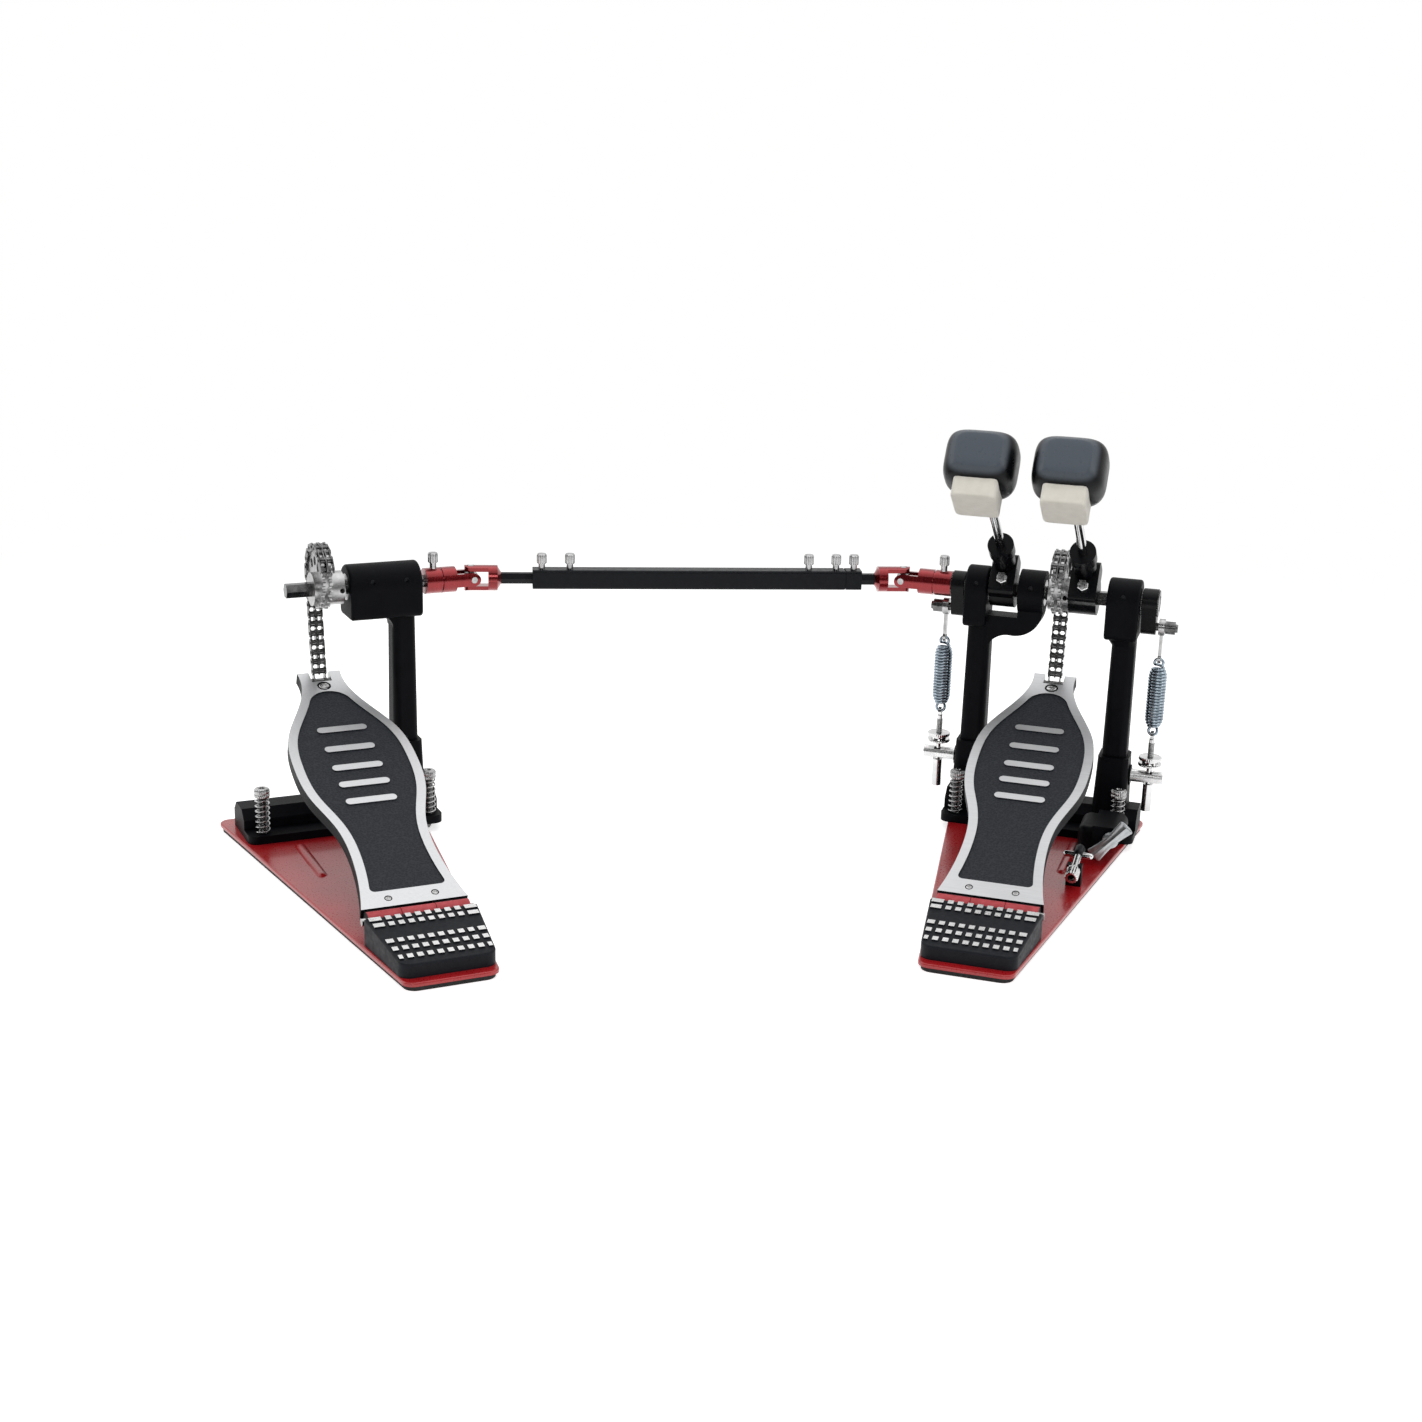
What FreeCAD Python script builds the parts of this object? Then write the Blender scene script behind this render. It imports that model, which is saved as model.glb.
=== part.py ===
# Double bass drum pedal: main pedal, slave pedal and the telescopic drive shaft between them.
# Millimetres. X runs along the beater shafts, +Y points to the drum, +Z is up, floor at Z = 0.
import FreeCAD
import Part
import math
import os

# Base and floor pad, the same on both pedals
PAD_THICK = 4.0
PLATE_THICK = 3.0
HEEL_Y = -349.5
FRONT_Y = 34.0
HEEL_HALF = 35.0
FRONT_HALF = 86.0
BASE_CORNER = 9.0
PLATE_ROUND = 1.2
PAD_INSET = 2.0
BEAD_X = 36.0
BEAD_Y0 = -127.0
BEAD_Y1 = -49.0
BEAD_WIDE = 9.0
BEAD_HIGH = 2.0

# Shaft line, hinge line and running fits
SHAFT_Z = 210.0
HINGE_Y = -264.0
HINGE_Z = 22.0
RUN_FIT = 0.05
SEAT_FIT = 0.04
SWING_GAP = 0.35
JOURNAL_DIA = 10.5
HEX_ACROSS = 11.0

# Footboard, in its own frame: U from the hinge end to the toe, W up from the top face
BOARD_TILT = 21.4
BOARD_Y = -256.6
BOARD_Z = 28.7
BOARD_LONG = 291.0
BOARD_THICK = 10.0
BOARD_SKIN = 4.2
BOARD_WALL = 4.0
BOARD_SIDE = ((0.0, 41.0), (55.0, 33.0), (95.0, 36.0), (130.0, 46.5), (170.0, 50.0),
              (207.0, 45.5), (240.0, 30.5), (267.0, 19.8), (291.0, 18.3))
RECESS_U0 = 17.0
RECESS_U1 = 264.0
RECESS_INSET = 7.4
RECESS_BOW = 13.0
RECESS_CORNER = 4.0
RIM_STATIONS = 12
HALVINGS = 40
RECESS_DEEP = 1.2
TREAD_U = (122.0, 143.0, 164.0, 188.0, 213.0)
TREAD_LONG = 34.0
TREAD_WIDE = 7.0
TREAD_SUNK = 0.5
NOTCH_HALF = 8.4
NOTCH_BACK = 8.3
TOE_SCREW_BACK = 6.4
TOE_SCREW_DIA = 8.2
TOE_DISH_DIA = 11.4
HEEL_SCREW_X = 18.0
HEEL_SCREW_DIA = 4.4
HEEL_DISH_DIA = 6.0
DISH_DEEP = 1.4
SCREW_SHY = 0.2
RIB_HALF = 2.0
RIB_SHY = 1.5
TONGUE_THICK = 5.0
KNUCKLE_GAP = 0.5
ANCHOR_DIA = 3.4

# Heel plate and its hinge
HEEL_PLATE_BACK = -272.0
HEEL_PLATE_FRONT = -341.0
HEEL_BACK_HALF = 43.0
HEEL_FRONT_HALF = 35.3
HEEL_BACK_Z = 28.0
HEEL_FRONT_Z = 17.8
HEEL_WALL = 4.0
HEEL_CORNER = 9.0
HEEL_ROUND = 1.5
STUD_ROWS = (10.4, 22.0, 33.2, 56.6, 65.4)
STUD_COUNT = 8
STUD_PITCH = 7.5
STUD_WIDE = 4.4
STUD_DEEP = 5.2
STUD_HIGH = 1.2
STUD_SUNK = 0.6
BAR_FROM = 31.6
BAR_EDGE = 1.8
KNUCKLE_DIA = 14.0
HINGE_PIN_DIA = 6.0
KNUCKLE_MID_HALF = 13.0
KNUCKLE_END = 39.0
HINGE_PIN_HALF = 43.0

# Sprocket and duplex roller chain
CHAIN_PITCH = 8.0
SPROCKET_TEETH = 20
SPROCKET_LIFT = 9.3
ROLLER_DIA = 5.0
STRAND_X = 2.82
STRAND_HALF = 1.5
INNER_PLATE = 0.75
OUTER_PLATE = 0.75
MIDDLE_PLATE = 1.0
PLATE_GAP = 0.1
PLATE_HIGH = 6.4
LINK_PIN_DIA = 2.4
TOOTH_THICK = 2.6
SPAN_LINKS = 11
SPAN_LEAN = 8.8
FIRST_PIN = -9.0
WRAP_FROM = 3
WRAP_TO = 9
SHACKLE_DIA = 9.0
SHACKLE_ROOM = 0.5
SHACKLE_SLACK = (-3.1, -1.1)
TOOTH_TIP = 0.6
SEAT_ROOM = 0.5
HUB_DIA = 28.0

# Posts, housings and bearings: x of each face
FOOT_HALF_Y = 18.0
FOOT_TOP = 30.0
TOWER_WIDE = 26.0
TOWER_FLARE = 2.0
TOWER_CORNER = 5.0
TOWER_DEEP = 30.0
TOWER_TOP = 75.0
PLUG_LONG = 34.0
COLUMN_WIDE = 19.6
COLUMN_DEEP = 23.5
COLUMN_CORNER = 6.0
COLUMN_GROW = 0.8
HOUSING_RADIUS = 18.6
HOUSING_DROP = 32.0
SLAVE_DROP = 26.0
HOUSING_CORNER = 5.0
HOUSING_ROUND = 2.2
NECK_LONG = 6.0
GUSSET = 10.0
SEAT_DEEP = 4.0
RIGHT_COLUMN_X = 58.0
RIGHT_HOUSING = (41.7, 69.0)
LEFT_COLUMN_X = -65.3
LEFT_HOUSING = (-78.6, -59.0)
MID_HOUSING = (-33.0, -11.5)
ARM_TOP = 188.0
ARM_HALF_Y = 9.6
ARM_ROOT = 8.0
ARM_DEEP = 36.0
ARM_KNEE = (4.0, 20.0)
ARM_CORNER = (17.0, 16.0)
ARM_SWEEP = (13.0, 10.5)
ARM_RISE = 14.0
SLAVE_COLUMN_X = 68.5
SLAVE_HOUSING = (21.0, 82.4)
PRIMARY_FOOT = (-84.0, 82.5)
SLAVE_FOOT = (-74.0, 92.0)
BEARING_DIA = 22.0
BEARING_WIDE = 7.0

# Beater, hub and rocker
RIGHT_HUB = (9.8, 33.0)
LEFT_HUB = (-57.5, -36.5)
HUB_RADIUS = 15.0
ROD_DIA = 8.0
ROD_OFFSET = 16.0
ROD_TILT = 54.0
ROD_LOW = -14.0
ROD_SHY = 12.0
BOSS_RADIUS = 9.4
BOSS_TOP = 41.0
COLLAR_TOP = 55.0
COLLAR_RADIUS = 11.0
HUB_BLOCK = 20.0
HUB_FRONT = -12.0
HUB_BACK = 25.0
HUB_CORNER = 4.0
KEY_BOLT_DIA = 5.0
KEY_BOLT_ACROSS = 5.4
KEY_BOLT_LOW = 8.0
KEY_BOLT_END = 28.5
HEAD_END = 222.0
HEAD_LONG = 57.0
HEAD_WIDE = 56.5
HEAD_DEEP = 45.0
HEAD_SHIFT = 2.5
HEAD_CORNER = 0.5
FELT_HALF = 17.5
FELT_FACE = -33.0
FELT_ALONG = (HEAD_END - 46.0, HEAD_END - 8.0)
FELT_ROOT = -10.0
FELT_CORNER = 4.0
RIGHT_ROCKER = (70.8, 83.0)
LEFT_ROCKER = (-91.0, -80.2)
ROCKER_ARM = 20.0
ROCKER_RADIUS = 12.0
ROCKER_BOSS = 7.0
CRANK_PIN_DIA = 7.0
CRANK_OUT = 18.0

# Return spring, stirrup and adjuster
SPRING_REACH = 5.0
SPRING_RADIUS = 6.7
SPRING_WIRE = 1.6
SPRING_TURNS = 19.5
SPRING_LOW = 103.5
SPRING_HIGH = 154.5
HOOK_RADIUS = 3.6
HOOK_RISE = 4.5
EYE_RADIUS = 4.2
EYE_BORE = 2.0
EYE_THICK = 2.6
STIRRUP_RADIUS = 7.2
STIRRUP_THICK = 5.0
TAIL_DIA = 4.6
THUMB_Z = 72.0
THUMB_DIA = 19.0
THUMB_THICK = 8.0
SWIVEL_Z = 57.5
SWIVEL_BOSS_DIA = 18.0
SWIVEL_BOSS_HIGH = 2.0
SWIVEL_DIA = 11.0
SLOT_WIDE = 5.8
SLOT_LONG = 8.4
SLEEVE_DIA = 8.5
SLEEVE_LOW = 27.5

# Universal joints and telescopic shaft
YOKE_DIA = 22.0
YOKE_GAP = 6.2
EAR_HALF = 5.6
CROSS_DIA = 5.4
CROSS_CUBE = 9.0
SLOT_FLOOR = 14.8
PRIMARY_CROSS_X = -135.8
PRIMARY_YOKE_END = -92.2
SLAVE_CROSS_X = 129.8
SLAVE_YOKE_END = 88.5
YOKE_NECK = 22.6
TUBE_WIDE = 16.5
TUBE_START = 37.7
TUBE_END = 52.2
TUBE_CAP = 13.4
TUBE_BORE = 9.7
DRIVE_ROD = 9.0
FIXED_ROD_LONG = 70.0
SLIDE_ROD_LONG = 160.0
TUBE_SCREWS_NEAR = (6.2, 21.7, 45.5)
TUBE_SCREWS_FAR = (7.8, 31.7)
KEY_STEM_DIA = 5.4
KEY_STEM_HIGH = 4.6
KEY_HEAD_DIA = 7.6
KEY_HEAD_HIGH = 8.4
KEY_STEM_SUNK = 1.5
KEY_SCREW_BACK = 8.0

# Slave pedal's place on the floor
SLAVE_X = -572.72
SLAVE_Y = -237.86
SLAVE_TURN = 42.59

# Spurs
SPUR_Y = -28.0
PRIMARY_SPURS = (-72.2, 67.0)
SLAVE_SPURS = (-60.5, 81.5)
SPUR_DIA = 8.0
SPUR_HEAD_DIA = 13.0
SPUR_HEAD_HIGH = 6.0
SPUR_TOP = 51.0
SPUR_TIP = 0.6
LUG_HALF = 10.0
LEDGE_CORNER = 8.0
LUG_TOP = 14.0
SPUR_SPRING_RADIUS = 5.5
SPUR_SPRING_WIRE = 1.4
SPUR_SPRING_TURNS = 6.5

# Hoop clamp, wing screw and drum key
JAW_HALF = 26.0
JAW_PIVOT_Y = 25.0
JAW_PIVOT_Z = 31.0
JAW_PIN_DIA = 6.0
JAW_LIP_Y = 47.0
JAW_LIP_Z = 21.0
JAW_LUG = 6.0
JAW_GAP = 0.5
JAW_WALL = 4.0
JAW_LIP_THICK = 7.0
BRACKET_X = (41.0, 62.0)
BRACKET_Y = (-84.0, -39.0)
BRACKET_TOP = 34.0
BRACKET_CORNER = 8.0
BRACKET_ROUND = 5.0
WING_X = 70.0
WING_Z = 29.5
WING_Y = -95.0
WING_LONG = 37.0
WING_WIDE = 13.0
WING_THICK = 5.0
WING_TILT = 48.0
WING_ROD_DIA = 8.0
WING_WAIST = 0.55
WING_BOW = 2.5
WING_HUB = 13.0
WING_BOSS_WALL = 4.5
WING_BOSS_GAP = 6.0
WING_ROD_END = -47.0
KEY_Y0 = -130.0
KEY_Y1 = -166.0
KEY_X = 49.0
KEY_Z0 = 26.0
KEY_Z1 = 19.0
KEY_SHANK_DIA = 6.0
KEY_SOCKET_DIA = 11.0
KEY_SOCKET_FROM = 0.66
KEY_GRIP_DIA = 9.0
KEY_GRIP_LONG = 12.0
KEY_BAR_DIA = 5.0
KEY_BAR_HALF = 9.5
KEY_SQUARE = 6.0
KEY_SQUARE_DEEP = 8.0
CLIP_HALF = (6.0, 4.0)
CLIP_LIP = 2.0

BASE_TOP = PAD_THICK + PLATE_THICK
RING_RADIUS = CHAIN_PITCH / (2 * math.sin(math.pi / SPROCKET_TEETH))
PIN_STEP = 360.0 / SPROCKET_TEETH
X_AXIS = FreeCAD.Vector(1, 0, 0)
Y_AXIS = FreeCAD.Vector(0, 1, 0)
Z_AXIS = FreeCAD.Vector(0, 0, 1)
ORIGIN = FreeCAD.Vector(0, 0, 0)


def vec(x, y, z):
    return FreeCAD.Vector(x, y, z)


def box(x_pair, y_pair, z_pair):
    corner = vec(min(x_pair), min(y_pair), min(z_pair))
    size = [abs(pair[1] - pair[0]) for pair in (x_pair, y_pair, z_pair)]
    return Part.makeBox(size[0], size[1], size[2], corner)


def rod(diameter, start, end):
    line = end - start
    return Part.makeCylinder(diameter / 2, line.Length, start, line)


def x_rod(diameter, x_pair, y=0.0, z=SHAFT_Z):
    return rod(diameter, vec(min(x_pair), y, z), vec(max(x_pair), y, z))


def prism(points, push):
    return Part.Face(Part.makePolygon(points + points[:1])).extrude(push)


def rounded_prism(points, push, radius):
    """A prism whose edges along the push direction are rounded."""
    solid = prism(points, push)
    way = push / push.Length
    edges = [e for e in solid.Edges if abs(e.tangentAt(e.FirstParameter).dot(way)) > 0.999]
    return solid.makeFillet(radius, edges)


def rounded_edges(solid, radius, chosen):
    """Rounds the edges that chosen picks by their middle point."""
    return solid.makeFillet(radius, [e for e in solid.Edges if chosen(e.CenterOfMass)])


def hex_bar(across, x_pair, y=0.0, z=SHAFT_Z):
    reach = across / math.sqrt(3)
    low = min(x_pair)
    corners = [vec(low, y + reach * math.cos(math.radians(60 * k)), z + reach * math.sin(math.radians(60 * k)))
               for k in range(6)]
    return prism(corners, vec(max(x_pair) - low, 0, 0))


def rounded_rectangle(x_pair, y_pair, z, radius):
    """A closed wire at height z: four lines and four quarter arcs."""
    x0, x1 = x_pair
    y0, y1 = y_pair
    edges = []
    bow = radius * (1 - math.sqrt(0.5))
    corners = ((x0, y0, 1, 1), (x1, y0, -1, 1), (x1, y1, -1, -1), (x0, y1, 1, -1))
    ends = []
    for k, (x, y, sx, sy) in enumerate(corners):
        along_y = vec(x, y + sy * radius, z)
        along_x = vec(x + sx * radius, y, z)
        pair = (along_y, along_x) if k % 2 == 0 else (along_x, along_y)
        ends.append((pair[0], vec(x + sx * bow, y + sy * bow, z), pair[1]))
    for k, (first, middle, last) in enumerate(ends):
        edges.append(Part.Arc(first, middle, last).toShape())
        edges.append(Part.makeLine(last, ends[(k + 1) % 4][0]))
    return Part.Wire(edges)


def fuse(pieces):
    return pieces[0].multiFuse(pieces[1:]).removeSplitter()


def group(pieces):
    return Part.makeCompound(pieces)


def turned(shape, centre, axis, degrees):
    copy = shape.copy()
    copy.rotate(centre, axis, degrees)
    return copy


def on_slave(shape):
    """Carries a piece from the pedal frame to the slave pedal's place."""
    copy = turned(shape, ORIGIN, Z_AXIS, SLAVE_TURN)
    copy.translate(vec(SLAVE_X, SLAVE_Y, 0))
    return copy


def on_board(shape):
    """Carries a piece from the board's own frame (x, U, W) to the pedal frame."""
    copy = turned(shape, ORIGIN, X_AXIS, BOARD_TILT)
    copy.translate(vec(0, BOARD_Y, BOARD_Z))
    return copy


def save(name, shape):
    shape.exportStep("parts/" + name + ".step")


# Smooth wire paths
def biarc(p0, t0, p1, t1):
    """Two tangent arcs from p0 along t0 to p1 along t1."""
    chord = p1 - p0
    a = 2.0 * (t0.dot(t1) - 1.0)
    b = -2.0 * chord.dot(t0 + t1)
    c = chord.dot(chord)
    reach = c / -b if abs(a) < 1e-9 else (-b - math.sqrt(b * b - 4 * a * c)) / (2 * a)
    first = p0 + t0 * reach
    second = p1 - t1 * reach
    joint = (first + second) * 0.5
    arcs = []
    for start, corner, end in ((p0, first, joint), (joint, second, p1)):
        middle = (start + end) * 0.5
        half = (end - start).Length / 2
        rise = corner - middle
        bow = half * math.tan(math.atan2(rise.Length, half) / 2)
        arcs.append(Part.Arc(start, middle + rise * (bow / rise.Length), end).toShape())
    return arcs


def wire_tube(name, stations, wire):
    """One unbroken round tube through (point, tangent) stations; prints its least gap to itself."""
    edges = []
    for (p0, t0), (p1, t1) in zip(stations, stations[1:]):
        edges += biarc(p0, t0.normalize(), p1, t1.normalize())
    ring = Part.Wire(Part.makeCircle(wire / 2, stations[0][0], stations[0][1]))
    tube = Part.Wire(edges).makePipeShell([ring], True, False)
    points = []
    run = 0.0
    for edge in edges:
        for step in range(3):
            way = edge.FirstParameter + (edge.LastParameter - edge.FirstParameter) * step / 3
            points.append((run + edge.Length * step / 3, edge.valueAt(way)))
        run += edge.Length
    least = 1e9
    for i, (run_i, point_i) in enumerate(points):
        for run_j, point_j in points[i + 1:]:
            if run_j - run_i > 5 * wire:
                least = min(least, (point_i - point_j).Length)
    print(name, "least gap to itself", round(least - wire, 2), "mm")
    return tube


def coil_stations(x, y, low, high, radius, turns):
    """Quarter-turn stations of a steady helix about a vertical axis; it starts at -X."""
    stations = []
    steps = int(turns * 4)
    rise = (high - low) / steps
    for k in range(steps + 1):
        a = math.pi + k * math.pi / 2
        point = vec(x + radius * math.cos(a), y + radius * math.sin(a), low + k * rise)
        stations.append((point, vec(-math.sin(a), math.cos(a), rise * 2 / (math.pi * radius))))
    return stations


# Floor level pieces
def base_outline(inset, z):
    heel = HEEL_HALF - inset
    front = FRONT_HALF - inset
    return [vec(-heel, HEEL_Y + inset, z), vec(heel, HEEL_Y + inset, z),
            vec(front, FRONT_Y - inset, z), vec(-front, FRONT_Y - inset, z)]


def spur_holes(spurs):
    return [rod(SPUR_DIA + 4 * SWING_GAP, vec(x, SPUR_Y, -1), vec(x, SPUR_Y, BASE_TOP + 1)) for x in spurs]


def floor_pad(spurs):
    pad = rounded_prism(base_outline(PAD_INSET, 0), vec(0, 0, PAD_THICK), BASE_CORNER)
    return pad.cut(group(spur_holes(spurs)))


def base_plate(spurs):
    """Sheet steel plate with two long pressed beads."""
    plate = rounded_prism(base_outline(0, PAD_THICK), vec(0, 0, PLATE_THICK), BASE_CORNER)
    plate = rounded_edges(plate, PLATE_ROUND, lambda c: abs(c.z - BASE_TOP) < 1e-6)
    plate = plate.cut(group(spur_holes(spurs)))
    crown = (BEAD_WIDE * BEAD_WIDE / 4 + BEAD_HIGH * BEAD_HIGH) / (2 * BEAD_HIGH)
    axis_z = BASE_TOP + BEAD_HIGH - crown
    clip = box((-FRONT_HALF, FRONT_HALF), (HEEL_Y, FRONT_Y), (BASE_TOP - PLATE_THICK / 2, BASE_TOP + BEAD_HIGH))
    beads = []
    for x in (-BEAD_X, BEAD_X):
        first = vec(x, BEAD_Y0 + BEAD_WIDE / 2, axis_z)
        last = vec(x, BEAD_Y1 - BEAD_WIDE / 2, axis_z)
        bead = rod(2 * crown, first, last)
        bead = bead.multiFuse([Part.makeSphere(crown, first), Part.makeSphere(crown, last)])
        beads.append(bead.common(clip))
    return fuse([plate] + beads)


def heel_slope():
    return math.degrees(math.atan2(HEEL_BACK_Z - HEEL_FRONT_Z, HEEL_PLATE_BACK - HEEL_PLATE_FRONT))


def on_heel(shape):
    """Carries a piece from the heel rest's sloping top frame to the pedal frame."""
    copy = turned(shape, ORIGIN, X_AXIS, heel_slope())
    copy.translate(vec(0, HEEL_PLATE_FRONT, HEEL_FRONT_Z))
    return copy


def heel_block(inset, low):
    """Heel rest's outline drawn in by inset, from low up to the sloping top lowered by inset."""
    back = HEEL_BACK_HALF - inset
    front = HEEL_FRONT_HALF - inset
    tall = 2 * HEEL_BACK_Z
    outline = [vec(-front, HEEL_PLATE_FRONT + inset, low), vec(front, HEEL_PLATE_FRONT + inset, low),
               vec(back, HEEL_PLATE_BACK - inset, low), vec(-back, HEEL_PLATE_BACK - inset, low)]
    block = prism(outline, vec(0, 0, tall))
    middle = (HEEL_PLATE_FRONT + HEEL_PLATE_BACK) / 2
    front_corners = [e for e in block.Edges
                     if abs(e.tangentAt(e.FirstParameter).z) > 0.999 and e.CenterOfMass.y < middle]
    block = block.makeFillet(HEEL_CORNER - inset, front_corners)
    depth = HEEL_PLATE_BACK - HEEL_PLATE_FRONT
    over = box((-2 * back, 2 * back), (-depth, 2 * depth), (-inset, 2 * tall))
    return block.cut(on_heel(over))


def heel_plate():
    """Hollow cast heel rest with rows of raised grip studs on its sloping top."""
    body = heel_block(0, BASE_TOP)
    grade = math.tan(math.radians(heel_slope()))
    body = rounded_edges(body, HEEL_ROUND,
                         lambda c: abs(c.z - HEEL_FRONT_Z - (c.y - HEEL_PLATE_FRONT) * grade) < 1e-4)
    body = body.cut(heel_block(HEEL_WALL, BASE_TOP - 1))
    depth = HEEL_PLATE_BACK - HEEL_PLATE_FRONT
    studs = []
    for row in STUD_ROWS:
        half = HEEL_FRONT_HALF + (HEEL_BACK_HALF - HEEL_FRONT_HALF) * row / depth - BAR_EDGE
        middles = [(k - (STUD_COUNT - 1) / 2) * STUD_PITCH for k in range(STUD_COUNT)]
        spans = [(-half, -BAR_FROM), (BAR_FROM, half)]
        spans += [(x - STUD_WIDE / 2, x + STUD_WIDE / 2) for x in middles]
        for span in spans:
            studs.append(box(span, (row - STUD_DEEP / 2, row + STUD_DEEP / 2), (-STUD_SUNK, STUD_HIGH)))
    return body.multiFuse(on_heel(group(studs)).Solids)


def heel_hinge():
    """Middle knuckle on its leaf, with the hinge pin through it."""
    radius = KNUCKLE_DIA / 2
    knuckle = x_rod(KNUCKLE_DIA, (-KNUCKLE_MID_HALF, KNUCKLE_MID_HALF), HINGE_Y, HINGE_Z)
    stand = box((-KNUCKLE_MID_HALF, KNUCKLE_MID_HALF), (HINGE_Y - radius, HINGE_Y + radius - 2.0),
                (BASE_TOP, HINGE_Z))
    pin = x_rod(HINGE_PIN_DIA, (-HINGE_PIN_HALF, HINGE_PIN_HALF), HINGE_Y, HINGE_Z)
    return fuse([knuckle, stand, pin])


# Footboard
def side_curve():
    """The board's right edge, from the hinge end to the toe."""
    curve = Part.BSplineCurve()
    curve.interpolate([vec(half, u * BOARD_LONG / BOARD_SIDE[-1][0], 0) for u, half in BOARD_SIDE])
    return curve


def drawn_in(curve, t, inset):
    """A point of the right edge, moved inward by inset."""
    ahead = curve.tangent(t)[0]
    return curve.value(t) - vec(ahead.y, -ahead.x, 0) * inset


def station(curve, inset, u):
    """The place on the right edge whose moved-in point lies at U."""
    low, high = curve.FirstParameter, curve.LastParameter
    for _ in range(HALVINGS):
        middle = (low + high) / 2
        if drawn_in(curve, middle, inset).y < u:
            low = middle
        else:
            high = middle
    return low


def rim_points(inset, u0, u1):
    """Points along the right edge between two stations, drawn in by inset."""
    curve = side_curve()
    first, last = [station(curve, inset, u) for u in (u0, u1)]
    steps = [first + (last - first) * k / (RIM_STATIONS - 1) for k in range(RIM_STATIONS)]
    return [drawn_in(curve, t, inset) for t in steps]


def board_tool(right, bow, w0, w1):
    """Prism over an outline: a smooth right edge, its mirror, a straight heel end and a toe end bowed out."""
    left = [vec(-p.x, p.y, 0) for p in reversed(right)]
    sides = []
    for points in (right, left):
        curve = Part.BSplineCurve()
        curve.interpolate(points)
        sides.append(curve.toShape())
    toe = Part.makeLine(right[-1], left[0])
    if bow > 0:
        toe = Part.Arc(right[-1], vec(0, right[-1].y + bow, 0), left[0]).toShape()
    heel = Part.makeLine(left[-1], right[0])
    face = Part.Face(Part.Wire([sides[0], toe, sides[1], heel]))
    face.translate(vec(0, 0, w0))
    return face.extrude(vec(0, 0, w1 - w0))


def on_board_frame(y, z):
    """U and W of a point of the pedal's middle plane."""
    a = math.radians(BOARD_TILT)
    dy, dz = y - BOARD_Y, z - BOARD_Z
    return dy * math.cos(a) + dz * math.sin(a), dz * math.cos(a) - dy * math.sin(a)


def notch_start():
    return on_board_frame(*anchor_point())[0] - NOTCH_BACK


def board_screws():
    """Toe and heel screws of the board: place, diameter and the dish round each."""
    return ((0.0, notch_start() - TOE_SCREW_BACK, TOE_SCREW_DIA, TOE_DISH_DIA),
            (-HEEL_SCREW_X, RECESS_U0 / 2, HEEL_SCREW_DIA, HEEL_DISH_DIA),
            (HEEL_SCREW_X, RECESS_U0 / 2, HEEL_SCREW_DIA, HEEL_DISH_DIA))


def tread_bar(u):
    """Raised grip bar with round ends, level with the rim."""
    low = -RECESS_DEEP - TREAD_SUNK
    half = TREAD_LONG / 2
    bar = box((-half, half), (u - TREAD_WIDE / 2, u + TREAD_WIDE / 2), (low, 0))
    ends = [Part.makeCylinder(TREAD_WIDE / 2, -low, vec(x, u, low)) for x in (-half, half)]
    return bar.multiFuse(ends).removeSplitter()


def footboard():
    """Cast board with a sunk tread, hollow underside, toe notch and hinge knuckles."""
    stations = [vec(half, u * BOARD_LONG / BOARD_SIDE[-1][0], 0) for u, half in BOARD_SIDE]
    board = board_tool(stations, 0, -BOARD_THICK, 0)
    toe = notch_start()
    rim = rim_points(RECESS_INSET, RECESS_U0, RECESS_U1 - RECESS_BOW)
    tread = board_tool(rim, RECESS_BOW, -RECESS_DEEP, RECESS_DEEP)
    heel_corners = [e for e in tread.Edges
                    if abs(e.tangentAt(e.FirstParameter).z) > 0.999 and e.CenterOfMass.y < BOARD_LONG / 2]
    tread = tread.makeFillet(RECESS_CORNER, heel_corners)
    under_end = toe - TOE_DISH_DIA - BOARD_WALL
    under = board_tool(rim_points(BOARD_WALL, BOARD_WALL, under_end), 0, -BOARD_THICK - 1, -BOARD_SKIN)
    notch = box((-NOTCH_HALF, NOTCH_HALF), (toe, BOARD_LONG + 1), (-BOARD_THICK - 1, 1))
    dishes = []
    screws = []
    for x, u, dia, dish in board_screws():
        dishes.append(Part.makeCylinder(dish / 2, 2 * DISH_DEEP, vec(x, u, -DISH_DEEP)))
        screws.append(on_board(Part.makeCylinder(dia / 2, DISH_DEEP - SCREW_SHY, vec(x, u, -DISH_DEEP))))
    board = board.cut(tread).cut(under).cut(notch).cut(group(dishes))
    rib = box((-RIB_HALF, RIB_HALF), (BOARD_WALL - 1, under_end + 1), (RIB_SHY - BOARD_THICK, 0.5 - BOARD_SKIN))
    board = on_board(fuse([board, rib] + [tread_bar(u) for u in TREAD_U]))
    axis_u, axis_w = on_board_frame(HINGE_Y, HINGE_Z)
    knuckles = []
    for side in (-1, 1):
        span = (side * (KNUCKLE_MID_HALF + KNUCKLE_GAP), side * KNUCKLE_END)
        barrel = x_rod(KNUCKLE_DIA, span, HINGE_Y, HINGE_Z)
        tongue = box(span, (axis_u, BOARD_WALL), (axis_w - TONGUE_THICK / 2, axis_w + TONGUE_THICK / 2))
        knuckles += [barrel, on_board(tongue)]
    bore = x_rod(HINGE_PIN_DIA + 2 * RUN_FIT, (-HINGE_PIN_HALF, HINGE_PIN_HALF), HINGE_Y, HINGE_Z)
    board = fuse([board] + knuckles).cut(bore)
    y, z = anchor_point()
    anchor = x_rod(ANCHOR_DIA, (-NOTCH_HALF, NOTCH_HALF), y, z)
    return group([board, anchor] + screws)


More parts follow.
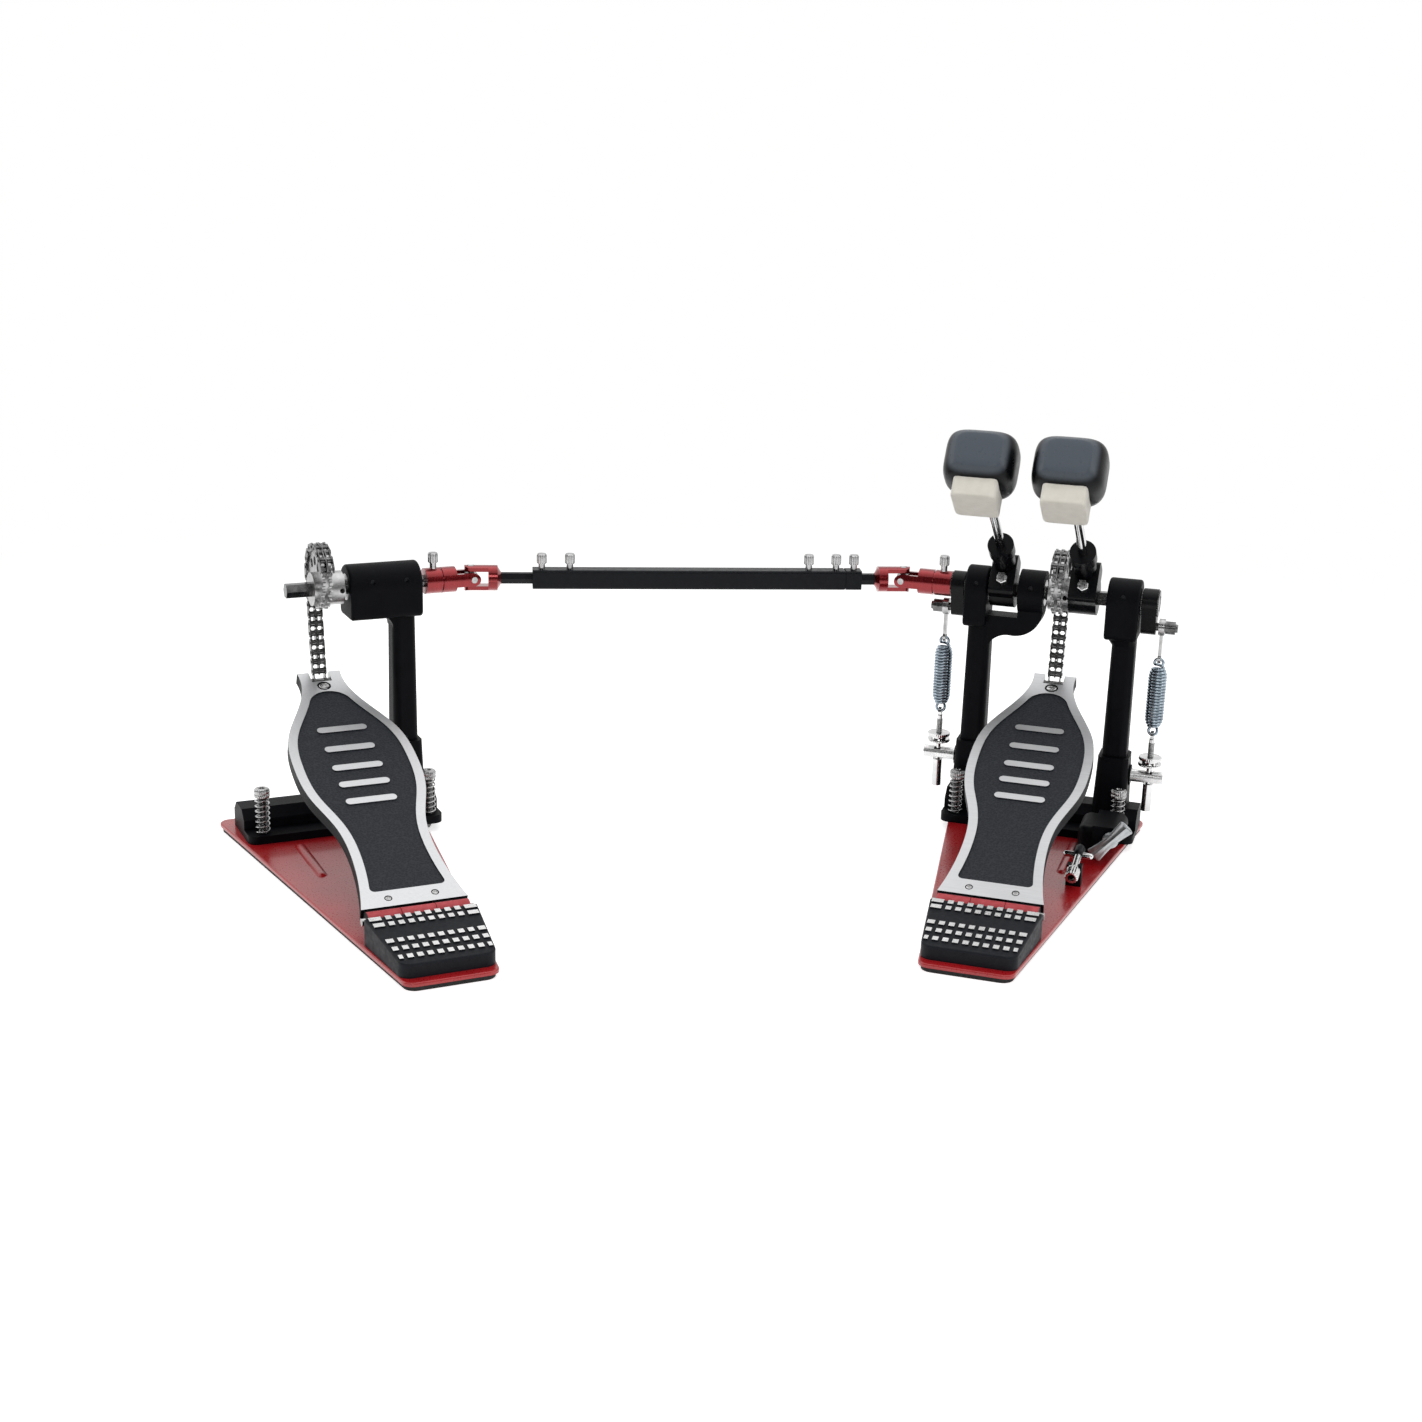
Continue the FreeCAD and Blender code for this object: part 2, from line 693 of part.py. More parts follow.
# Chain drive
def ring_pin(index):
    a = math.radians(FIRST_PIN + PIN_STEP * index)
    return RING_RADIUS * math.cos(a), SHAFT_Z + SPROCKET_LIFT + RING_RADIUS * math.sin(a)


def span_pin(count):
    lean = math.radians(SPAN_LEAN)
    y, z = ring_pin(0)
    return y - count * CHAIN_PITCH * math.sin(lean), z - count * CHAIN_PITCH * math.cos(lean)


def anchor_point():
    return span_pin(SPAN_LINKS)


def link_plate(first, second, x_pair, holes):
    """Flat link plate between two pins, with cropped ends."""
    ahead = vec(0, second[0] - first[0], second[1] - first[1])
    ahead.normalize()
    across = vec(0, -ahead.z, ahead.y)
    half = PLATE_HIGH / 2
    crop = half * 0.45
    low = vec(min(x_pair), first[0], first[1])
    high = vec(min(x_pair), second[0], second[1])
    points = [low - ahead * half - across * crop, low - ahead * crop - across * half,
              high + ahead * crop - across * half, high + ahead * half - across * crop,
              high + ahead * half + across * crop, high + ahead * crop + across * half,
              low - ahead * crop + across * half, low - ahead * half + across * crop]
    plate = prism(points, vec(abs(x_pair[1] - x_pair[0]), 0, 0))
    for y, z in (first, second):
        if holes:
            plate = plate.cut(x_rod(LINK_PIN_DIA + 2 * RUN_FIT, x_pair, y, z))
    return plate


def outer_faces():
    face = STRAND_X + STRAND_HALF + INNER_PLATE + PLATE_GAP
    return (face, face + OUTER_PLATE)


def inner_link(first, second):
    """Both strands of an inner link: rollers between plates, with the pins that they turn on."""
    pieces = []
    for side in (-1, 1):
        middle = side * STRAND_X
        for edge in (-1, 1):
            wall = middle + edge * STRAND_HALF
            pieces.append(link_plate(first, second, (wall, wall + edge * INNER_PLATE), False))
        for y, z in (first, second):
            pieces.append(x_rod(ROLLER_DIA, (middle - STRAND_HALF, middle + STRAND_HALF), y, z))
    return pieces


def link_pin(point):
    reach = outer_faces()[1] + 0.5
    return x_rod(LINK_PIN_DIA, (-reach, reach), point[0], point[1])


def outer_link(first, second, holes):
    low, high = outer_faces()
    spans = ((-high, -low), (-MIDDLE_PLATE / 2, MIDDLE_PLATE / 2), (low, high))
    return [link_plate(first, second, span, holes) for span in spans]


def pinned_inner_link(first, second):
    """An inner link that free outer links turn on: one solid with its two pins."""
    return fuse(inner_link(first, second) + [link_pin(first), link_pin(second)])


def chain_wrap():
    """Six links on the sprocket, from its keeper pin to the last pin that never leaves it."""
    solids = []
    for k in range(WRAP_TO, WRAP_FROM, -1):
        first = ring_pin(k)
        second = ring_pin(k - 1)
        if (k - WRAP_FROM) % 2 == 1:
            solids.append(pinned_inner_link(first, second))
        else:
            solids.append((first, second))
    links = [s for s in solids if not isinstance(s, tuple)]
    pins = group(links)
    for pair in [s for s in solids if isinstance(s, tuple)]:
        links += [plate.cut(pins) for plate in outer_link(pair[0], pair[1], False)]
    keeper = x_rod(LINK_PIN_DIA, (-outer_faces()[1], outer_faces()[1]), ring_pin(WRAP_TO)[0], ring_pin(WRAP_TO)[1])
    rest = [link.cut(keeper) for link in links]
    return group(rest + [keeper])


def slot_bar(diameter, x_pair, y, z):
    """A bar along X whose section is a slot from the anchor pin to the far end of its slack."""
    dy, dz = SHACKLE_SLACK
    low = min(x_pair)
    side = vec(0, -dz, dy) * (diameter / 2 / math.hypot(dy, dz))
    near = vec(low, y, z)
    far = vec(low, y + dy, z + dz)
    flat = prism([near + side, far + side, far - side, near - side], vec(max(x_pair) - low, 0, 0))
    ends = [x_rod(diameter, x_pair, y, z), x_rod(diameter, x_pair, y + dy, z + dz)]
    return flat.multiFuse(ends).removeSplitter()


def shackle():
    """Last link: two straps on one pin, a roller on each strand, and slots round the anchor pin."""
    top = span_pin(SPAN_LINKS - 1)
    y, z = anchor_point()
    wall = STRAND_X + STRAND_HALF
    pieces = [link_pin(top)]
    for side in (-1, 1):
        pair = (side * wall, side * (wall + INNER_PLATE))
        pieces.append(link_plate(top, anchor_point(), pair, False))
        pieces.append(slot_bar(SHACKLE_DIA, pair, y, z))
        pieces.append(x_rod(ROLLER_DIA, (side * (MIDDLE_PLATE / 2 + PLATE_GAP), side * wall), top[0], top[1]))
    return fuse(pieces).cut(slot_bar(ANCHOR_DIA + 2 * SHACKLE_ROOM, (-2 * wall, 2 * wall), y, z))


def chain_span():
    """Eleven links down to the board, ending in a shackle with room round the anchor pin."""
    links = []
    plates = []
    last = SPAN_LINKS - 1
    for k in range(0, last, 2):
        links.append(pinned_inner_link(span_pin(k), span_pin(k + 1)))
    links.append(shackle())
    pins = group(links)
    for k in range(1, last, 2):
        plates += [plate.cut(pins) for plate in outer_link(span_pin(k), span_pin(k + 1), False)]
    return group(links + plates)


def sprocket(hub_x):
    """Twin toothed eccentric rings, a grooved core and a hub with a hexagon bore."""
    centre_z = SHAFT_Z + SPROCKET_LIFT
    tip = RING_RADIUS + TOOTH_TIP
    seat = ROLLER_DIA + 2 * SEAT_ROOM
    rings = []
    for side in (-1, 1):
        half = TOOTH_THICK / 2
        pair = (side * STRAND_X - half, side * STRAND_X + half)
        disc = x_rod(2 * tip, pair, 0, centre_z)
        seats = [x_rod(seat, pair, *ring_pin(k)) for k in range(SPROCKET_TEETH)]
        rings.append(disc.cut(group(seats)))
    core_dia = 2 * (RING_RADIUS - PLATE_HIGH / 2 - 0.6)
    core = x_rod(core_dia, (-STRAND_X, STRAND_X), 0, centre_z)
    hub = x_rod(HUB_DIA, hub_x)
    body = fuse([core, hub] + rings)
    windows = []
    for spread in (-42.0, 0.0, 42.0):
        a = math.radians(90 + spread)
        reach = RING_RADIUS * 0.56
        windows.append(x_rod(7.5, (-10, 10), reach * math.cos(a), centre_z + reach * math.sin(a)))
    body = body.cut(group(windows)).cut(hex_bar(HEX_ACROSS + 2 * SEAT_FIT, (hub_x[0] - 1, hub_x[1] + 1)))
    screw_x = hub_x[1] - 2.6
    hole = rod(4.2, vec(screw_x, 0, SHAFT_Z), vec(screw_x, -HUB_DIA, SHAFT_Z))
    return body.cut(hole)


# Posts
def housing_bore(x_pair, seats):
    """Clearance for the shaft and a seat for each bearing, from its outer face inwards."""
    tools = [x_rod(JOURNAL_DIA + 3.0, (x_pair[0] - 1, x_pair[1] + 1))]
    for low, high in seats:
        tools.append(x_rod(BEARING_DIA + 2 * SEAT_FIT, (low, high)))
    return group(tools)


def bearing_seats(x_pair, sides):
    seats = []
    if "low" in sides:
        seats.append((x_pair[0], x_pair[0] + BEARING_WIDE))
    if "high" in sides:
        seats.append((x_pair[1] - BEARING_WIDE, x_pair[1]))
    return seats


def bearings(seats):
    rings = []
    for pair in seats:
        bore = x_rod(JOURNAL_DIA + 2 * RUN_FIT, (pair[0] - 1, pair[1] + 1))
        rings.append(x_rod(BEARING_DIA, pair).cut(bore))
    return group(rings)


def column(x, drop):
    """Tapered post from a plug in the tower's socket up into its housing."""
    half_x = COLUMN_WIDE / 2
    half_y = COLUMN_DEEP / 2
    low = rounded_rectangle((x - half_x - COLUMN_GROW, x + half_x + COLUMN_GROW), (-half_y, half_y), TOWER_TOP,
                            COLUMN_CORNER)
    top = SHAFT_Z - drop + SEAT_DEEP
    high = rounded_rectangle((x - half_x, x + half_x), (1 - half_y, half_y - 1), top, COLUMN_CORNER)
    shaft = Part.makeLoft([low, high], True, True)
    plug_x, plug_y = plug_half()
    plug = box((x - plug_x, x + plug_x), (-plug_y, plug_y), (TOWER_TOP - PLUG_LONG, TOWER_TOP + 1))
    return [shaft, plug]


def plug_half():
    return COLUMN_WIDE / 2 - 2.0, COLUMN_DEEP / 2 - 3.0


def housing(x_pair, drop):
    """Bearing block: a round crown over the shaft, straight cheeks and rounded lower corners and ends."""
    x, low = x_pair[0], SHAFT_Z - drop
    bow = HOUSING_CORNER * (1 - math.sqrt(0.5))
    crown = vec(x, 0, SHAFT_Z + HOUSING_RADIUS)
    edges = [Part.Arc(vec(x, -HOUSING_RADIUS, SHAFT_Z), crown, vec(x, HOUSING_RADIUS, SHAFT_Z)).toShape()]
    for side in (1, -1):
        cheek = vec(x, side * HOUSING_RADIUS, low + HOUSING_CORNER)
        sole = vec(x, side * (HOUSING_RADIUS - HOUSING_CORNER), low)
        edges.append(Part.makeLine(vec(x, side * HOUSING_RADIUS, SHAFT_Z), cheek))
        edges.append(Part.Arc(cheek, vec(x, side * (HOUSING_RADIUS - bow), low + bow), sole).toShape())
    reach = HOUSING_RADIUS - HOUSING_CORNER
    edges.append(Part.makeLine(vec(x, reach, low), vec(x, -reach, low)))
    block = Part.Face(Part.Wire(Part.__sortEdges__(edges))).extrude(vec(x_pair[1] - x, 0, 0))
    return rounded_edges(block, HOUSING_ROUND, lambda c: min(abs(c.x - x), abs(c.x - x_pair[1])) < 1e-6)


def neck(x_pair, column_x, drop):
    """Short shoulder from the column out to its housing."""
    low = SHAFT_Z - drop
    half_x = COLUMN_WIDE / 2
    half_y = COLUMN_DEEP / 2 - 1
    reach = HOUSING_RADIUS - HOUSING_CORNER
    narrow_x = (column_x - half_x, column_x + half_x)
    narrow = rounded_rectangle(narrow_x, (-half_y, half_y), low - NECK_LONG, COLUMN_CORNER)
    wide_x = (x_pair[0] + HOUSING_ROUND, x_pair[1] - HOUSING_ROUND)
    wide = rounded_rectangle(wide_x, (-reach, reach), low + 1, HOUSING_CORNER)
    return Part.makeLoft([narrow, wide], True, True)


def gusset(column_x, drop):
    """Round fillet under a long housing, where it meets the side of its column."""
    low = SHAFT_Z - drop
    half_y = COLUMN_DEEP / 2 - COLUMN_CORNER / 2
    side = column_x - COLUMN_WIDE / 2
    bow = GUSSET * math.sqrt(0.5)
    foot = vec(side, -half_y, low - GUSSET)
    tip = vec(side - GUSSET, -half_y, low)
    arc = Part.Arc(foot, vec(side - GUSSET + bow, -half_y, low - GUSSET + bow), tip).toShape()
    corners = [tip, vec(side - GUSSET, -half_y, low + 1), vec(side + 2, -half_y, low + 1),
               vec(side + 2, -half_y, low - GUSSET), foot]
    lines = [Part.makeLine(a, b) for a, b in zip(corners, corners[1:])]
    return Part.Face(Part.Wire([arc] + lines)).extrude(vec(0, 2 * half_y, 0))


def set_screw_hole(x):
    return rod(4.2, vec(x, -HOUSING_RADIUS - 1, SHAFT_Z + 6), vec(x, -HOUSING_RADIUS + 3, SHAFT_Z + 6))


def right_post():
    post = fuse(column(RIGHT_COLUMN_X, HOUSING_DROP) + [housing(RIGHT_HOUSING, HOUSING_DROP),
                                                        neck(RIGHT_HOUSING, RIGHT_COLUMN_X, HOUSING_DROP)])
    post = post.cut(housing_bore(RIGHT_HOUSING, bearing_seats(RIGHT_HOUSING, ("low",))))
    return post.cut(set_screw_hole(sum(RIGHT_HOUSING) / 2))


def left_post():
    """Left column and housing, with the swept arm that carries the middle housing."""
    middle = x_rod(2 * HOUSING_RADIUS, MID_HOUSING)
    inner = LEFT_COLUMN_X + COLUMN_WIDE / 2
    y = -ARM_HALF_Y
    root = vec(inner - ARM_ROOT, y, ARM_TOP - ARM_DEEP)
    start = vec(inner - 3, y, ARM_TOP - ARM_DEEP)
    corner = vec(inner + ARM_CORNER[0], y, ARM_TOP - ARM_CORNER[1])
    end = vec(MID_HOUSING[1], y, SHAFT_Z - ARM_RISE)
    lower = Part.Arc(start, vec(inner + ARM_KNEE[0], y, ARM_TOP - ARM_KNEE[1]), corner).toShape()
    sweep = Part.Arc(corner, vec(MID_HOUSING[0] + ARM_SWEEP[0], y, ARM_TOP - ARM_SWEEP[1]), end).toShape()
    rise = vec(MID_HOUSING[0], y, SHAFT_Z - ARM_RISE)
    inside = vec(MID_HOUSING[0], y, ARM_TOP)
    back = vec(inner - ARM_ROOT, y, ARM_TOP)
    corners = (end, rise, inside, back, root, start)
    lines = [Part.makeLine(a, b) for a, b in zip(corners, corners[1:])]
    arm = Part.Face(Part.Wire([lower, sweep] + lines)).extrude(vec(0, 2 * ARM_HALF_Y, 0))
    post = fuse(column(LEFT_COLUMN_X, HOUSING_DROP) + [housing(LEFT_HOUSING, HOUSING_DROP), arm, middle])
    post = post.cut(housing_bore(LEFT_HOUSING, bearing_seats(LEFT_HOUSING, ("high",))))
    post = post.cut(housing_bore(MID_HOUSING, bearing_seats(MID_HOUSING, ("low", "high"))))
    return post.cut(set_screw_hole(sum(LEFT_HOUSING) / 2)).cut(set_screw_hole(sum(MID_HOUSING) / 2))


def slave_post():
    block = housing(SLAVE_HOUSING, SLAVE_DROP)
    post = fuse(column(SLAVE_COLUMN_X, SLAVE_DROP) + [block, gusset(SLAVE_COLUMN_X, SLAVE_DROP)])
    post = post.cut(housing_bore(SLAVE_HOUSING, bearing_seats(SLAVE_HOUSING, ("low", "high"))))
    return post.cut(set_screw_hole(sum(SLAVE_HOUSING) / 2 - 12)).cut(set_screw_hole(SLAVE_COLUMN_X))


def foot_bar(x_pair, towers, spurs):
    """Cast cross foot with a socket tower for each post and a lug for each spur."""
    crown = 8.0
    profile = [vec(x_pair[0], -FOOT_HALF_Y, BASE_TOP), vec(x_pair[0], FOOT_HALF_Y, BASE_TOP),
               vec(x_pair[0], FOOT_HALF_Y, FOOT_TOP - crown), vec(x_pair[0], FOOT_HALF_Y - crown, FOOT_TOP),
               vec(x_pair[0], crown - FOOT_HALF_Y, FOOT_TOP), vec(x_pair[0], -FOOT_HALF_Y, FOOT_TOP - crown)]
    pieces = [prism(profile, vec(x_pair[1] - x_pair[0], 0, 0))]
    sockets = []
    half_x, half_y = plug_half()
    for x, outward in towers:
        low_x, low_y = TOWER_WIDE / 2 + TOWER_FLARE, TOWER_DEEP / 2 + TOWER_FLARE
        low = rounded_rectangle((x - low_x, x + low_x), (-low_y, low_y), FOOT_TOP - 2 * crown, TOWER_CORNER)
        high = rounded_rectangle((x - TOWER_WIDE / 2, x + TOWER_WIDE / 2),
                                 (-TOWER_DEEP / 2, TOWER_DEEP / 2), TOWER_TOP, TOWER_CORNER)
        pieces.append(Part.makeLoft([low, high], True, True))
        sockets.append(box((x - half_x - SEAT_FIT, x + half_x + SEAT_FIT), (-half_y - SEAT_FIT, half_y + SEAT_FIT),
                           (TOWER_TOP - PLUG_LONG, TOWER_TOP + 1)))
        seat = (x + outward * swivel_seat(), x + outward * TOWER_WIDE)
        face = x + outward * TOWER_WIDE / 2
        pieces += [x_rod(SWIVEL_BOSS_DIA, (x, face + outward * SWIVEL_BOSS_HIGH), 0, SWIVEL_Z)] if outward else []
        sockets += [x_rod(SWIVEL_DIA + 2 * SEAT_FIT, seat, 0, SWIVEL_Z)] if outward else []
    front = SPUR_Y - LUG_HALF
    back = LUG_HALF - SPUR_Y
    ledge = [vec(x_pair[0], front, BASE_TOP), vec(x_pair[1], front, BASE_TOP), vec(x_pair[1], back, BASE_TOP),
             vec(x_pair[0], back, BASE_TOP)]
    ledge = rounded_prism(ledge, vec(0, 0, LUG_TOP - BASE_TOP), LEDGE_CORNER)
    pieces.append(ledge.cut(box(x_pair, (0, 2 * back), (0, FOOT_TOP))))
    for x in spurs:
        sockets.append(rod(SPUR_DIA + 2 * RUN_FIT, vec(x, SPUR_Y, 0), vec(x, SPUR_Y, FOOT_TOP)))
    return fuse(pieces).cut(group(sockets))


def spurs_set(name, spurs):
    """Screw-down floor spikes with knurled heads, each inside its lock spring."""
    solids = []
    for x in spurs:
        head_low = SPUR_TOP - SPUR_HEAD_HIGH
        shank = rod(SPUR_DIA, vec(x, SPUR_Y, SPUR_TIP + 5), vec(x, SPUR_Y, head_low))
        tip = Part.makeCone(0.8, SPUR_DIA / 2, 5, vec(x, SPUR_Y, SPUR_TIP))
        head = rod(SPUR_HEAD_DIA, vec(x, SPUR_Y, head_low), vec(x, SPUR_Y, SPUR_TOP))
        cap = Part.makeCone(SPUR_HEAD_DIA / 2, SPUR_HEAD_DIA / 2 - 1.5, 1.5, vec(x, SPUR_Y, SPUR_TOP))
        solids.append(fuse([shank, tip, head, cap]))
        room = SPUR_SPRING_WIRE / 2 + 0.3
        turns = coil_stations(x, SPUR_Y, LUG_TOP + room, head_low - room, SPUR_SPRING_RADIUS, SPUR_SPRING_TURNS)
        solids.append(wire_tube(name + " spring", turns, SPUR_SPRING_WIRE))
    return group(solids)


# Shaft pieces
def primary_shaft():
    low, high = MID_HOUSING[1] - BEARING_WIDE - 3, RIGHT_ROCKER[1] + 1
    left_step, right_step = MID_HOUSING[1] + 0.4, RIGHT_HOUSING[0] - 0.4
    return fuse([x_rod(JOURNAL_DIA, (low, left_step)), hex_bar(HEX_ACROSS, (left_step, right_step)),
                 x_rod(JOURNAL_DIA, (right_step, high))])


def left_beater_shaft():
    high = MID_HOUSING[0] + BEARING_WIDE + 3
    left_step, right_step = LEFT_HOUSING[1] + 0.4, MID_HOUSING[0] - 0.4
    low = PRIMARY_CROSS_X + SLOT_FLOOR + 4
    return fuse([x_rod(JOURNAL_DIA, (low, left_step)), hex_bar(HEX_ACROSS, (left_step, right_step)),
                 x_rod(JOURNAL_DIA, (right_step, high))])


def slave_shaft():
    stub = -29.2
    step = SLAVE_HOUSING[0] - 0.4
    return fuse([hex_bar(HEX_ACROSS, (stub, step)), x_rod(JOURNAL_DIA, (step, SLAVE_CROSS_X - SLOT_FLOOR - 4))])


def rod_point(along, out=ROD_OFFSET, x=0.0):
    """A point along the beater rod: along it from the shaft, and out toward the drum."""
    a = math.radians(ROD_TILT)
    return vec(x, out * math.cos(a) - along * math.sin(a), SHAFT_Z + out * math.sin(a) + along * math.cos(a))


def beater_hub(x_pair):
    """Clamp hub: a barrel and block on the shaft, a boss and collar along the rod, and a square-headed key bolt."""
    x = sum(x_pair) / 2
    wide = x_pair[1] - x_pair[0]
    barrel = x_rod(2 * HUB_RADIUS, x_pair)
    boss = rod(2 * BOSS_RADIUS, rod_point(ROD_LOW + 2, x=x), rod_point(BOSS_TOP, x=x))
    collar = rod(2 * COLLAR_RADIUS, rod_point(BOSS_TOP, x=x), rod_point(COLLAR_TOP, x=x))
    corners = ((0, HUB_FRONT), (HUB_BLOCK, HUB_FRONT), (HUB_BLOCK, HUB_BACK), (0, HUB_BACK))
    block = rounded_prism([rod_point(along, out, x_pair[0]) for along, out in corners], vec(wide, 0, 0), HUB_CORNER)
    body = fuse([barrel, boss, block, collar])
    body = body.cut(hex_bar(HEX_ACROSS + 2 * SEAT_FIT, (x_pair[0] - 1, x_pair[1] + 1)))
    bore_low = rod_point(2 * ROD_LOW - HUB_RADIUS, x=x)
    body = body.cut(rod(ROD_DIA + 2 * RUN_FIT, bore_low, rod_point(COLLAR_TOP + 1, x=x)))
    shank = rod(KEY_BOLT_DIA, rod_point(KEY_BOLT_LOW, 0, x), rod_point(HUB_BLOCK + 2, 0, x))
    half = KEY_BOLT_ACROSS / 2
    around = ((-half, -half), (half, -half), (half, half), (-half, half))
    low = [rod_point(HUB_BLOCK + 1, out, x + side) for side, out in around]
    square = prism(low, rod_point(KEY_BOLT_END, 0) - rod_point(HUB_BLOCK + 1, 0))
    return group([body.cut(shank), square.fuse(shank).removeSplitter()])


def beater_rod(x_pair):
    x = sum(x_pair) / 2
    return rod(ROD_DIA, rod_point(ROD_LOW, x=x), rod_point(HEAD_END - ROD_SHY, x=x))


def beater_head(x_pair):
    """Two-sided beater: moulded shell with a flat drum face and a felt pad on the other side."""
    x = sum(x_pair) / 2
    low = HEAD_END - HEAD_LONG
    sections = []
    for share, wide, deep, shift in ((0.0, 0.60, 0.56, 0.0), (0.30, 0.97, 0.95, 1.0), (0.62, 1.0, 1.0, 1.0),
                                     (0.90, 0.92, 0.92, 1.0), (1.0, 0.76, 0.76, 1.0)):
        half_x = HEAD_WIDE * wide / 2
        half_y = HEAD_DEEP * deep / 2
        y_pair = (HEAD_SHIFT * shift - half_y, HEAD_SHIFT * shift + half_y)
        sections.append(rounded_rectangle((-half_x, half_x), y_pair, low + HEAD_LONG * share, half_y * HEAD_CORNER))
    shell = Part.makeLoft(sections, True, False)
    bore = rod(ROD_DIA + 2 * SEAT_FIT, vec(0, 0, low - 1), vec(0, 0, HEAD_END - ROD_SHY))
    pad = rounded_rectangle((-FELT_HALF, FELT_HALF), FELT_ALONG, 0, FELT_CORNER)
    felt = Part.Face(pad).extrude(vec(0, 0, FELT_ROOT - FELT_FACE))
    felt.rotate(ORIGIN, X_AXIS, 90)
    felt.translate(vec(0, FELT_ROOT, 0))
    pieces = []
    for piece in (shell.cut(bore), felt.cut(shell)):
        piece.translate(vec(x, ROD_OFFSET, SHAFT_Z))
        pieces.append(turned(piece, vec(0, 0, SHAFT_Z), X_AXIS, ROD_TILT))
    return group(pieces)


def rocker(x_pair, outward):
    """Spring cam on the shaft end with its crank pin and the pin's nut."""
    pin_z = SHAFT_Z - ROCKER_ARM
    hub = x_rod(2 * ROCKER_RADIUS, x_pair)
    boss = x_rod(2 * ROCKER_BOSS, x_pair, 0, pin_z)
    low, high = min(x_pair), max(x_pair)
    flank = (ROCKER_RADIUS - ROCKER_BOSS) / ROCKER_ARM
    lean = math.sqrt(1 - flank * flank)
    web = prism([vec(low, -ROCKER_RADIUS * lean, SHAFT_Z - ROCKER_RADIUS * flank),
                 vec(low, ROCKER_RADIUS * lean, SHAFT_Z - ROCKER_RADIUS * flank),
                 vec(low, ROCKER_BOSS * lean, pin_z - ROCKER_BOSS * flank),
                 vec(low, -ROCKER_BOSS * lean, pin_z - ROCKER_BOSS * flank)], vec(high - low, 0, 0))
    face = high if outward > 0 else low
    body = fuse([hub, boss, web]).cut(x_rod(JOURNAL_DIA + 2 * SEAT_FIT, (low - 1, high + 1)))
    pin = x_rod(CRANK_PIN_DIA, (face, face + outward * CRANK_OUT), 0, pin_z)
    nut_start = 2 * SPRING_REACH - 2.0
    nut = x_rod(CRANK_PIN_DIA + 4, (face + outward * nut_start, face + outward * (CRANK_OUT - 2)), 0, pin_z)
    return group([body, pin.fuse(nut).removeSplitter()])


# Return springs
def spring_x(x_pair, outward):
    return (max(x_pair) if outward > 0 else min(x_pair)) + outward * SPRING_REACH


def eye(x, z):
    ring = x_rod(2 * EYE_RADIUS, (x - EYE_THICK / 2, x + EYE_THICK / 2), 0, z)
    return ring, x_rod(2 * EYE_BORE, (x - EYE_THICK, x + EYE_THICK), 0, z)


def hook_seat():
    """How far a hook's wire stands past the end of the coil."""
    return HOOK_RISE + HOOK_RADIUS - SPRING_WIRE / 2 - 0.6


def stirrup(x):
    """Link from the crank pin to the spring's upper hook."""
    pin_z = SHAFT_Z - ROCKER_ARM
    low_z = SPRING_HIGH + hook_seat() + EYE_BORE
    half = STIRRUP_THICK / 2
    top = x_rod(2 * STIRRUP_RADIUS, (x - half, x + half), 0, pin_z)
    ring, bore = eye(x, low_z)
    strap = box((x - EYE_THICK / 2, x + EYE_THICK / 2), (-3.2, 3.2), (low_z + EYE_BORE + 0.6, pin_z))
    body = fuse([top, strap, ring]).cut(bore)
    return body.cut(x_rod(CRANK_PIN_DIA + 2 * RUN_FIT, (x - half - 1, x + half + 1), 0, pin_z))


def return_spring(name, x):
    """Closely wound tension spring with a hook loop at each end."""
    coil = coil_stations(x, 0, SPRING_LOW, SPRING_HIGH, SPRING_RADIUS, SPRING_TURNS)
    centre = SPRING_HIGH + HOOK_RISE
    lift = math.sin(math.radians(50)) * HOOK_RADIUS
    side = math.cos(math.radians(50)) * HOOK_RADIUS
    upper = [(vec(x, SPRING_RADIUS * 0.72, SPRING_HIGH + 1.5), vec(-1, 0, 0.35)),
             (vec(x - HOOK_RADIUS, 0, centre), vec(0, 0, 1)),
             (vec(x, 0, centre + HOOK_RADIUS), vec(1, 0, 0)),
             (vec(x + HOOK_RADIUS, 0, centre), vec(0, 0, -1)),
             (vec(x + side, 0, centre - lift), vec(-lift, 0, -side))]
    both = SPRING_LOW + SPRING_HIGH
    lower = [(vec(2 * x - p.x, p.y, both - p.z), vec(t.x, -t.y, t.z)) for p, t in reversed(upper)]
    return wire_tube(name, lower + coil + upper, SPRING_WIRE)


def spring_tail(x):
    """Eyed adjuster rod with its thumb nut above the swivel and sleeve nut below it."""
    eye_z = SPRING_LOW - hook_seat() - EYE_BORE
    ring, bore = eye(x, eye_z)
    stem = rod(TAIL_DIA, vec(x, 0, SLEEVE_LOW + 2), vec(x, 0, eye_z - EYE_BORE - 0.4))
    body = fuse([stem, ring]).cut(bore)
    half = THUMB_THICK / 2
    flange = THUMB_THICK * 0.32
    disc_low = rod(THUMB_DIA, vec(x, 0, THUMB_Z - half), vec(x, 0, THUMB_Z - half + flange))
    disc_high = rod(THUMB_DIA, vec(x, 0, THUMB_Z + half - flange), vec(x, 0, THUMB_Z + half))
    waist = rod(THUMB_DIA * 0.7, vec(x, 0, THUMB_Z - half), vec(x, 0, THUMB_Z + half))
    hole = rod(TAIL_DIA + 2 * SEAT_FIT, vec(x, 0, 0), vec(x, 0, THUMB_Z + THUMB_THICK))
    thumb = fuse([disc_low, disc_high, waist]).cut(hole)
    sleeve_top = SWIVEL_Z - SWIVEL_DIA / 2 - 0.5
    sleeve = rod(SLEEVE_DIA, vec(x, 0, SLEEVE_LOW), vec(x, 0, sleeve_top))
    blind = rod(TAIL_DIA + 2 * SEAT_FIT, vec(x, 0, SLEEVE_LOW + 2), vec(x, 0, sleeve_top + 1))
    return group([body, thumb, sleeve.cut(blind)])


